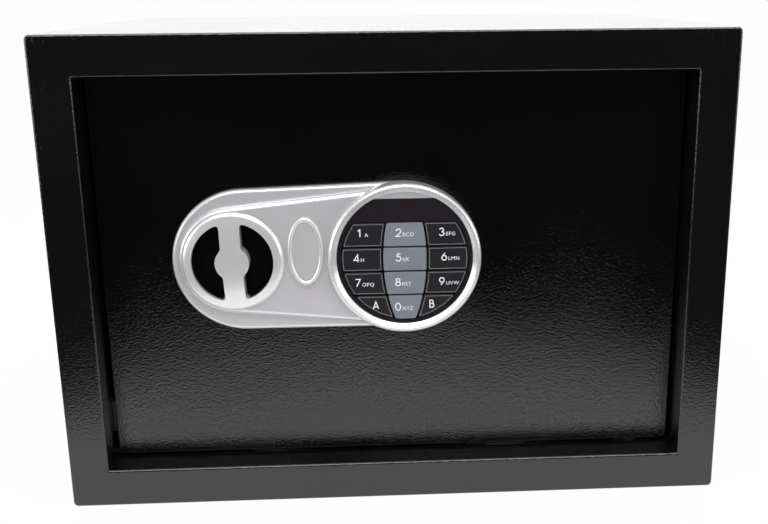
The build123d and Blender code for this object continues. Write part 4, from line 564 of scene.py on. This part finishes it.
def make_ring():
    """The keypad's ring, with a rounded lip, coned inside, and the segment over the keypad's flat top."""
    silver = finishes["ring_silver"]
    lip = arc((RING_RADIUS - LIP_RADIUS, LIP_LEVEL), LIP_RADIUS, 2, 62, 14)
    crest = [(38.6, 12.86), (38.2, 12.98), (37.9, 12.92), (37.7, 12.7)]
    inner_edge = [(36.0, 10.75), (35.8, 10.6), (RING_BORE, 10.35), (RING_BORE, RING_FOOT)]
    profile = [(RING_BORE, RING_FOOT), (RING_RADIUS, RING_FOOT)] + lip + crest + inner_edge
    ring = piece_from(turned(profile, KEYPAD_AXIS, RING_SEGMENTS), "keypad_ring", silver)
    finish_piece(ring)
    half = math.acos(SEGMENT_LOW / SEGMENT_RADIUS)
    angles = [half * (1 - i / 20) for i in range(41)]
    outline = [
        (KEYPAD_AXIS[0] + SEGMENT_RADIUS * math.sin(t), KEYPAD_AXIS[1] + SEGMENT_RADIUS * math.cos(t))
        for t in angles
    ]
    segment = piece_from(solid_from(outline, *SEGMENT_LEVELS), "keypad_top_segment", silver)
    finish_piece(segment, SEGMENT_EDGE * MM)
    for piece in (ring, segment):
        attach(piece, "door")
        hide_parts("keypad_bezel")


CAP_HALF_WIDTH, CAP_HALF_HEIGHT = 9.2, 18.05
CAP_BACK, CAP_RIM = 8.05, 9.1  # levels of its back and of the foot of its rolled rim
RIM_HALF_WIDTH, RIM_HEIGHT, RIM_STEPS = 0.95, 1.0, 16


def make_cap():
    """The oval cap over the override lock: rolled rim, shallow dish, and the plug ring behind it."""
    half_axes = (CAP_HALF_WIDTH, CAP_HALF_HEIGHT)
    angles = [math.pi * i / RIM_STEPS for i in range(RIM_STEPS)]
    roll = [
        (RIM_HALF_WIDTH - RIM_HALF_WIDTH * math.cos(t), CAP_RIM + RIM_HEIGHT * math.sin(t)) for t in angles
    ]
    dish = [(2.0, 8.98), (2.3, 8.92), (2.9, 8.88), (4.4, 8.85), (CAP_HALF_WIDTH, 8.84)]
    face = turned([(0.0, CAP_BACK)] + roll + dish, CAP, 160, taper=half_axes)
    cap = piece_from(face, "oval_cap", finishes["knob_silver"])
    plug = [(1.7, 8.3), (1.7, 4.8), (1.85, 4.6), (2.6, 4.6), (2.7, 4.7), (2.7, 8.3), (1.7, 8.3)]
    bm = turned(plug, CAP, 120, taper=half_axes)
    bm.from_mesh(cap.data)
    bm.to_mesh(cap.data)
    bm.free()
    finish_piece(cap)
    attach(cap, "cap")
    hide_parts("override_cap")


class Repeat(Tree):
    """One Geometry Nodes group that repeats a small shape, run once over a mesh and then baked."""

    def __init__(self, name):
        super().__init__(bpy.data.node_groups.new(name, "GeometryNodeTree"))
        self.tree.interface.new_socket("Geometry", in_out="OUTPUT", socket_type="NodeSocketGeometry")
        self.values = {}
        self.entry = self.tree.nodes.new("NodeGroupInput")
        self.exit = self.tree.nodes.new("NodeGroupOutput")
        self.taken("Geometry", "NodeSocketGeometry")

    def taken(self, name, kind, value=None):
        """A named input of the group, with the value the modifier is given for it."""
        socket = self.tree.interface.new_socket(name, in_out="INPUT", socket_type=kind)
        if value is not None:
            self.values[socket.identifier] = value
        return self.entry.outputs[name]

    def random(self, seed, low, high):
        """A vector drawn for each point between two limits."""
        links = {"Seed": seed, 0: low, 1: high}
        return self.node("FunctionNodeRandomValue", links, data_type="FLOAT_VECTOR").outputs[0]

    def close(self, instances, material):
        """Realises the instances and gives them their finish."""
        real = self.node("GeometryNodeRealizeInstances", {0: instances}).outputs[0]
        dressed = self.node("GeometryNodeSetMaterial", {"Geometry": real, "Material": material}).outputs[0]
        self.tree.links.new(dressed, self.exit.inputs[0])

    def grow(self, source, name):
        """Runs the group over the source object and returns what it makes; the source is removed."""
        modifier = source.modifiers.new("repeat", "NODES")
        modifier.node_group = self.tree
        for identifier, value in self.values.items():
            modifier[identifier] = value
        mesh = settle(source)
        mesh.name = name
        bpy.data.objects.remove(source)
        return put_in(bpy.data.objects.new(name, mesh))


def box(centre, size):
    """A box as a bmesh; centre and size in mm."""
    bm = bmesh.new()
    bmesh.ops.create_cube(bm, size=1.0)
    for vert in bm.verts:
        vert.co = Vector([(centre[i] + vert.co[i] * size[i]) * MM for i in range(3)])
    return bm


HEAD_TOP, HEAD_SEAT, HEAD_RADIUS = -7.0, -5.2, 3.2  # levels behind the door's face, and the head's radius
RECESS_LONG, RECESS_WIDE, RECESS_DEEP = 3.5, 0.75, 2.4
SCREWS_MIDDLE, SCREWS_ACROSS, SCREWS_UP = (-0.0129, 0, 0.125), 0.2098, 0.178  # the pattern, in m


def make_screws():
    """The liner's four pan-head screws with a cross recess, each turned its own way."""
    angles = [math.pi / 2 * i / 8 for i in range(9)]
    dome = [(HEAD_RADIUS - 1.15 * (1 - math.cos(t)), -5.7 - 1.25 * math.sin(t)) for t in angles]
    shank = [(0, -1.5), (1.1, -1.5), (1.6, -2.0), (1.6, HEAD_SEAT)]
    rim = [(HEAD_RADIUS - 0.1, HEAD_SEAT), (HEAD_RADIUS, HEAD_SEAT - 0.1)]
    profile = shank + rim + dome + [(1.0, HEAD_TOP), (0, HEAD_TOP)]
    steel = finishes["fastener_steel"]
    screw = piece_from(turned(profile, (0.0, 0.0), 40), "pan_screw", steel)
    sizes = ((RECESS_LONG, RECESS_DEEP, RECESS_WIDE), (RECESS_WIDE, RECESS_DEEP, RECESS_LONG))
    bars = [piece_from(box((0, DOOR_FACE - HEAD_TOP, 0), size), "bar", steel) for size in sizes]
    finish_piece(screw, 0.0, bars, sharp=30)
    g = Repeat("screw_pattern")
    across = g.taken("Across", "NodeSocketFloat", SCREWS_ACROSS)
    up = g.taken("Up", "NodeSocketFloat", SCREWS_UP)
    seed = g.taken("Seed", "NodeSocketInt", 4)
    material = g.taken("Material", "NodeSocketMaterial", steel)
    corners = {"Size X": across, "Size Y": up, "Vertices X": 2, "Vertices Y": 2}
    stood = g.node("GeometryNodeTransform", {
        "Geometry": g.node("GeometryNodeMeshGrid", corners).outputs[0],
        "Translation": SCREWS_MIDDLE,
        "Rotation": (math.pi / 2, 0, 0),
    }).outputs[0]
    placed = g.node("GeometryNodeInstanceOnPoints", {
        "Points": stood,
        "Instance": g.entry.outputs["Geometry"],
        "Rotation": g.random(seed, (0, 0, 0), (0, 1.5, 0)),
    }).outputs[0]
    g.close(placed, material)
    screws = g.grow(screw, "liner_pan_screws")
    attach(screws, "door")
    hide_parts("liner_screws")


FIBRE_DENSITY, FIBRE_LENGTH, FIBRE_RADIUS = 46000.0, 0.0075, 0.00007  # per square metre, then m
FIBRE_ARCH, FIBRE_TILT = (0.0, 0.0012, 0.0009), 0.0001  # the hair's middle, and how far its ends tip, in m
FIELD_MIDDLE_Y, FIELD_HALF_WIDTH, FIELD_HALF_DEPTH = 0.014, 0.1675, 0.1035  # where fibres stand, in m


def make_fibres():
    """Loose fibres standing off the mat's top face, short curved hairs lying every way."""
    mat = nodes["floor_mat"].data
    top = max(v.co.z for v in mat.vertices)
    bm = bmesh.new()
    bm.from_mesh(mat)
    lower = [f for f in bm.faces if any(v.co.z < top - 0.00001 for v in f.verts)]
    bmesh.ops.delete(bm, geom=lower, context="FACES")
    source = piece_from(bm, "mat_top", finishes["carpet"])
    g = Repeat("felt_fibres")
    density = g.taken("Density", "NodeSocketFloat", FIBRE_DENSITY)
    length = g.taken("Fibre Length", "NodeSocketFloat", FIBRE_LENGTH)
    thick = g.taken("Fibre Radius", "NodeSocketFloat", FIBRE_RADIUS)
    seed = g.taken("Seed", "NodeSocketInt", 11)
    material = g.taken("Material", "NodeSocketMaterial", finishes["fibre"])
    points = g.node("GeometryNodeDistributePointsOnFaces", {
        "Mesh": g.entry.outputs["Geometry"], "Density": density, "Seed": seed,
    }).outputs["Points"]
    where = g.node("ShaderNodeSeparateXYZ", {0: g.node("GeometryNodeInputPosition").outputs[0]}).outputs
    sideways = g.math("ABSOLUTE", where["X"])
    backwards = g.math("ABSOLUTE", g.math("SUBTRACT", where["Y"], FIELD_MIDDLE_Y))
    outside = g.math(
        "MAXIMUM",
        g.math("GREATER_THAN", sideways, FIELD_HALF_WIDTH),
        g.math("GREATER_THAN", backwards, FIELD_HALF_DEPTH),
    )
    links = {"Geometry": points, "Selection": outside}
    kept = g.node("GeometryNodeDeleteGeometry", links, domain="POINT").outputs[0]

    def hair_end(side):
        half = g.math("MULTIPLY", length, 0.5 * side)
        return g.node("ShaderNodeCombineXYZ", {0: half, 2: FIBRE_TILT * side}).outputs[0]

    line = g.node("GeometryNodeCurveQuadraticBezier", {
        "Resolution": 4, "Start": hair_end(-1), "Middle": FIBRE_ARCH, "End": hair_end(1),
    }).outputs[0]
    circle = g.node("GeometryNodeCurvePrimitiveCircle", {"Resolution": 3, "Radius": thick}).outputs[0]
    hair = g.node("GeometryNodeCurveToMesh", {
        "Curve": line, "Profile Curve": circle, "Fill Caps": True,
    }).outputs[0]
    placed = g.node("GeometryNodeInstanceOnPoints", {
        "Points": kept,
        "Instance": hair,
        "Rotation": g.random(seed, (-0.3, -0.04, 0.0), (0.3, 0.04, 6.283)),
        "Scale": g.random(seed, (0.5, -1.2, 0.5), (1.1, 1.2, 1.1)),
    }).outputs[0]
    g.close(placed, material)
    fibres = g.grow(source, "mat_fibres")
    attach(fibres, "cabinet")
    return fibres


def text_mesh(words, size, thickness):
    """Plain sans lettering as a closed mesh, lying in X and Y, its front at +Z."""
    curve = bpy.data.curves.new("lettering", "FONT")
    curve.body = words
    curve.size = size
    curve.extrude = thickness / 2
    curve.resolution_u = 6
    curve.space_character = 1.12
    curve.align_x, curve.align_y = "LEFT", "BOTTOM_BASELINE"
    holder = put_in(bpy.data.objects.new("lettering", curve))
    bpy.context.view_layer.update()
    mesh = bpy.data.meshes.new_from_object(holder)
    bpy.data.objects.remove(holder)
    return mesh


KEY_LEVEL = 10.9  # the keys' front
KEY_FRONT = (DOOR_FACE - KEY_LEVEL) * MM
INK = 0.05 * MM  # thickness of the print
DIGIT_HEIGHT, STROKE = 3.9, 0.54  # mm
LETTER_SIZE, LETTER_START = 2.8 * MM, 3.5 * MM  # letters start this far right of the digit's left edge
OUTLINE_INSET, OUTLINE_WIDTH, OUTLINE_RISE = 0.25 * MM, 0.24 * MM, 0.03 * MM

# strokes of a round sans hand on a field 1 high and 0.66 wide:
# ("l", point, point ...) is a line and ("a", centre, radii, from, to) an arc in degrees
STROKES = {
    "0": [("a", (0.33, 0.5), (0.33, 0.5), 0, 360)],
    "1": [("l", (0.02, 0.78), (0.3, 1.0), (0.3, 0.0))],
    "2": [("a", (0.33, 0.69), (0.3, 0.31), 170, -38), ("l", (0.57, 0.5), (0.03, 0.0), (0.64, 0.0))],
    "3": [("a", (0.3, 0.75), (0.27, 0.25), 160, -90), ("a", (0.3, 0.27), (0.32, 0.27), 90, -165)],
    "4": [("l", (0.5, 0.0), (0.5, 1.0), (0.0, 0.24), (0.68, 0.24))],
    "5": [("l", (0.58, 1.0), (0.18, 1.0), (0.09, 0.57)), ("a", (0.29, 0.33), (0.34, 0.33), 128, -160)],
    "6": [("l", (0.44, 1.0), (0.07, 0.47)), ("a", (0.33, 0.32), (0.31, 0.32), 0, 360)],
    "7": [("l", (0.0, 1.0), (0.62, 1.0), (0.15, 0.0))],
    "8": [("a", (0.33, 0.76), (0.25, 0.24), 0, 360), ("a", (0.33, 0.27), (0.32, 0.27), 0, 360)],
    "9": [("l", (0.2, 0.0), (0.58, 0.53)), ("a", (0.32, 0.68), (0.31, 0.32), 0, 360)],
    "A": [("l", (0.0, 0.0), (0.34, 1.0), (0.68, 0.0)), ("l", (0.12, 0.3), (0.56, 0.3))],
    "B": [
        ("l", (0.3, 1.0), (0.06, 1.0), (0.06, 0.0), (0.32, 0.0)), ("l", (0.06, 0.54), (0.3, 0.54)),
        ("a", (0.3, 0.77), (0.21, 0.23), 90, -90), ("a", (0.32, 0.27), (0.28, 0.27), 90, -90),
    ],
}
# key: (digit, letters after it, left edge and baseline of the print from the keypad's centre, mm)
KEY_WORDS = {
    "key_1": ("1", "A", -24.3, 12.1),
    "key_2": ("2", "BCD", -4.5, 12.1),
    "key_3": ("3", "EFG", 18.0, 12.1),
    "key_4": ("4", "H", -26.5, -1.2),
    "key_5": ("5", "IJK", -4.6, -1.2),
    "key_6": ("6", "LMN", 19.2, -1.2),
    "key_7": ("7", "OPQ", -26.0, -14.6),
    "key_8": ("8", "RST", -5.1, -14.6),
    "key_9": ("9", "UVW", 18.0, -14.6),
    "key_a": ("A", "", -17.0, -27.1),
    "key_0": ("0", "XYZ", -5.3, -28.1),
    "key_b": ("B", "", 12.6, -26.9),
}
MIDDLE_KEYS = ("key_2", "key_5", "key_8", "key_0")


def stroke_points(stroke):
    """One stroke as a chain of points in m."""
    if stroke[0] == "l":
        chain = [(x * DIGIT_HEIGHT, y * DIGIT_HEIGHT) for x, y in stroke[1:]]
    else:
        _, (cx, cy), (rx, ry), start, end = stroke
        steps = max(8, int(abs(end - start) / 12))
        angles = [math.radians(start + (end - start) * i / steps) for i in range(steps + 1)]
        chain = [
            ((cx + rx * math.cos(t)) * DIGIT_HEIGHT, (cy + ry * math.sin(t)) * DIGIT_HEIGHT) for t in angles
        ]
    return [Vector((x * MM, y * MM)) for x, y in chain]


LEAST_MITRE, LONGEST_MITRE = 0.3, 1.3  # hold the ribbon short where it turns sharply


def add_ribbon(bm, chain, width, at, front):
    """A ribbon along a chain of points, mitred at its corners; its face stands forward by front."""
    closed = (chain[0] - chain[-1]).length < 1e-7
    if closed:
        chain = chain[:-1]
    count = len(chain)
    sides = []
    for i, point in enumerate(chain):
        before = chain[i - 1] if closed or i else None
        after = chain[(i + 1) % count] if closed or i < count - 1 else None
        into = (point - before).normalized() if before is not None else (after - point).normalized()
        out = (after - point).normalized() if after is not None else into
        normal_in, normal_out = Vector((-into.y, into.x)), Vector((-out.y, out.x))
        mitre = (normal_in + normal_out).normalized()
        reach = min(width / 2 / max(mitre.dot(normal_in), LEAST_MITRE), width * LONGEST_MITRE)
        edges = (point + mitre * reach, point - mitre * reach)
        sides.append([
            [bm.verts.new((at.x + p.x, at.y - depth, at.z + p.y)) for p in edges]
            for depth in (-INK / 2, front)
        ])
    for i in range(count if closed else count - 1):
        (back_a, front_a), (back_b, front_b) = sides[i], sides[(i + 1) % count]
        for quad in (
            (front_a[0], front_a[1], front_b[1], front_b[0]), (back_a[0], back_b[0], back_b[1], back_a[1]),
            (back_a[0], front_a[0], front_b[0], back_b[0]), (back_a[1], back_b[1], front_b[1], front_a[1]),
        ):
            bm.faces.new(quad)
    if not closed:
        for back, fore in (sides[0], sides[-1]):
            bm.faces.new((back[0], back[1], fore[1], fore[0]))


def letter_keys():
    """The digit and small letters printed on each key."""
    for key, (digit, letters, left, base) in KEY_WORDS.items():
        bm = bmesh.new()
        at = Vector(((KEYPAD_AXIS[0] + left) * MM, KEY_FRONT, (KEYPAD_AXIS[1] + base) * MM))
        for layer, stroke in enumerate(STROKES[digit]):
            add_ribbon(bm, stroke_points(stroke), STROKE * MM, at, INK * (1 + 0.15 * layer))
        bmesh.ops.recalc_face_normals(bm, faces=bm.faces)
        if letters:
            mesh = text_mesh(letters, LETTER_SIZE, INK)
            first = min(v.co.x for v in mesh.vertices)
            shift = Vector((at.x + LETTER_START - first, KEY_FRONT - INK / 2, at.z))
            mesh.transform(Matrix.Translation(shift) @ Matrix.Rotation(math.pi / 2, 4, "X"))
            bm.from_mesh(mesh)
            bpy.data.meshes.remove(mesh)
        made = piece_from(bm, key + "_lettering", finishes["label_white"])
        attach(made, key)


def outline_keys():
    """A thin grey line just inside the edge of each side key's front."""
    for key in KEY_WORDS:
        if key in MIDDLE_KEYS:
            continue
        bm = bmesh.new()
        bm.from_mesh(nodes[key].data)
        bmesh.ops.remove_doubles(bm, verts=bm.verts, dist=0.00001)
        front = min(v.co.y for v in bm.verts)
        keep = [f for f in bm.faces if all(v.co.y < front + 0.00002 for v in f.verts)]
        bmesh.ops.delete(bm, geom=[f for f in bm.faces if f not in keep], context="FACES")
        bmesh.ops.dissolve_limit(bm, angle_limit=0.01, verts=bm.verts, edges=bm.edges)
        face = max(bm.faces, key=lambda f: f.calc_area())
        bmesh.ops.inset_region(bm, faces=[face], thickness=OUTLINE_INSET, use_even_offset=True)
        bm.faces.ensure_lookup_table()
        inner = max(bm.faces, key=lambda f: f.calc_area())
        line = bmesh.ops.inset_region(bm, faces=[inner], thickness=OUTLINE_WIDTH, use_even_offset=True)
        bmesh.ops.delete(bm, geom=[f for f in bm.faces if f not in line["faces"]], context="FACES")
        raised = bmesh.ops.extrude_face_region(bm, geom=list(bm.faces))
        lifted = [v for v in raised["geom"] if isinstance(v, bmesh.types.BMVert)]
        bmesh.ops.translate(bm, vec=(0, -OUTLINE_RISE, 0), verts=lifted)
        bmesh.ops.recalc_face_normals(bm, faces=bm.faces)
        made = piece_from(bm, key + "_outline", finishes["outline_grey"])
        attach(made, key)


# ---------------------------------------------------------------- room
PAPER_END, PAPER_FADE = 0.335, 0.035  # in the gloss, the floor's paper ends this far from the middle, in m
CAMERA_WHITE, GLOSS_WHITE = 0.94, 0.9  # share of plain white in the floor that each of them sees
DIM_ROOM = 0.015
# a gloss ray's direction where its room starts to brighten and where it is bright, and how bright
PAPER_BEHIND = (-0.82, -0.4, 1.08)  # along Y
CEILING = (0.5, 0.75, 1.0)  # along Z

# name: (centre, point it faces, width and height, watts), in m
SOFTBOXES = {
    "front_softbox": ((0.0, -0.9, 1.12), (0, -0.1, 0.12), (1.5, 0.6), 10),
    "left_softbox": ((-1.1, -0.6, 0.2), (0, -0.1, 0.12), (0.9, 0.5), 3.4),
    "right_softbox": ((1.1, -0.6, 0.2), (0, -0.1, 0.12), (0.9, 0.5), 2.2),
    "overhead_softbox": ((0.0, 0.0, 1.5), (0, 0, 0.1), (1.6, 1.4), 11),
    "rear_softbox": ((0.3, 1.4, 1.0), (0, 0.1, 0.12), (1.2, 0.8), 5),
}


def make_floor():
    """Pale paper, plain white to the camera; gloss shows it white as far as its end and dark beyond."""
    material, g = finish_named("pale_floor", (0.9, 0.9, 0.9))
    ray = g.node("ShaderNodeLightPath").outputs
    tone = g.blend(g.noise(g.place(), 30.0, 3.0, 0.5), (0.84, 0.84, 0.84), (0.88, 0.88, 0.88))
    paper = g.node("ShaderNodeBsdfDiffuse", {"Color": tone}).outputs[0]
    glow = g.node("ShaderNodeEmission", {"Color": rgb(1, 1, 1), "Strength": 1.0}).outputs[0]
    dim = g.node("ShaderNodeEmission", {"Color": rgb(0.02, 0.02, 0.02), "Strength": 1.0}).outputs[0]
    plain_white = g.math(
        "MAXIMUM",
        g.math("MULTIPLY", ray["Is Camera Ray"], CAMERA_WHITE),
        g.math("MULTIPLY", ray["Is Glossy Ray"], GLOSS_WHITE),
    )
    spread = g.node("ShaderNodeVectorMath", {0: g.place()}, operation="LENGTH").outputs["Value"]
    beyond = g.span(spread, PAPER_END - PAPER_FADE, PAPER_END + PAPER_FADE, 0.0, 1.0, smooth=True)
    past_end = g.math("MULTIPLY", beyond, ray["Is Glossy Ray"])
    g.finish(g.mix(past_end, g.mix(plain_white, paper, glow), dim))
    bm = bmesh.new()
    bmesh.ops.create_grid(bm, x_segments=8, y_segments=8, size=5.0)
    piece_from(bm, "pale_floor", material)


def make_world():
    """Gloss sees a dim room before the door and at the sides, bright paper behind and a bright ceiling."""
    world = bpy.data.worlds.new("studio")
    bpy.context.scene.world = world
    g = Graph(world, "ShaderNodeOutputWorld")
    ray = g.node("ShaderNodeLightPath").outputs
    toward = g.node("ShaderNodeSeparateXYZ", {0: g.node("ShaderNodeTexCoord").outputs["Generated"]}).outputs

    def brighten(part, start, full, strength):
        return g.span(part, start, full, DIM_ROOM, strength, smooth=True)

    def background(strength):
        return g.node("ShaderNodeBackground", {"Color": rgb(1, 1, 1), "Strength": strength}).outputs[0]

    in_gloss = g.math("MAXIMUM", brighten(toward["Y"], *PAPER_BEHIND), brighten(toward["Z"], *CEILING))
    shown = g.mix(ray["Is Glossy Ray"], background(0.55), background(in_gloss))
    shown = g.mix(ray["Is Transmission Ray"], shown, background(1.0))
    g.finish(g.mix(ray["Is Camera Ray"], shown, background(0.985)))


def make_lights():
    """Area lights, each turned to its point."""
    for name, (centre, aim, size, watts) in SOFTBOXES.items():
        light = bpy.data.lights.new(name, "AREA")
        light.shape = "RECTANGLE"
        light.size, light.size_y = size
        light.energy = watts
        lamp = put_in(bpy.data.objects.new(name, light))
        lamp.location = centre
        lamp.rotation_euler = (Vector(aim) - Vector(centre)).to_track_quat("-Z", "Y").to_euler()


place_camera()
dress_parts()
make_knob()
make_ring()
make_cap()
make_screws()
letter_keys()
outline_keys()
make_fibres().name
make_floor()
make_world()
make_lights()
bpy.context.scene.view_settings.view_transform = "Standard"
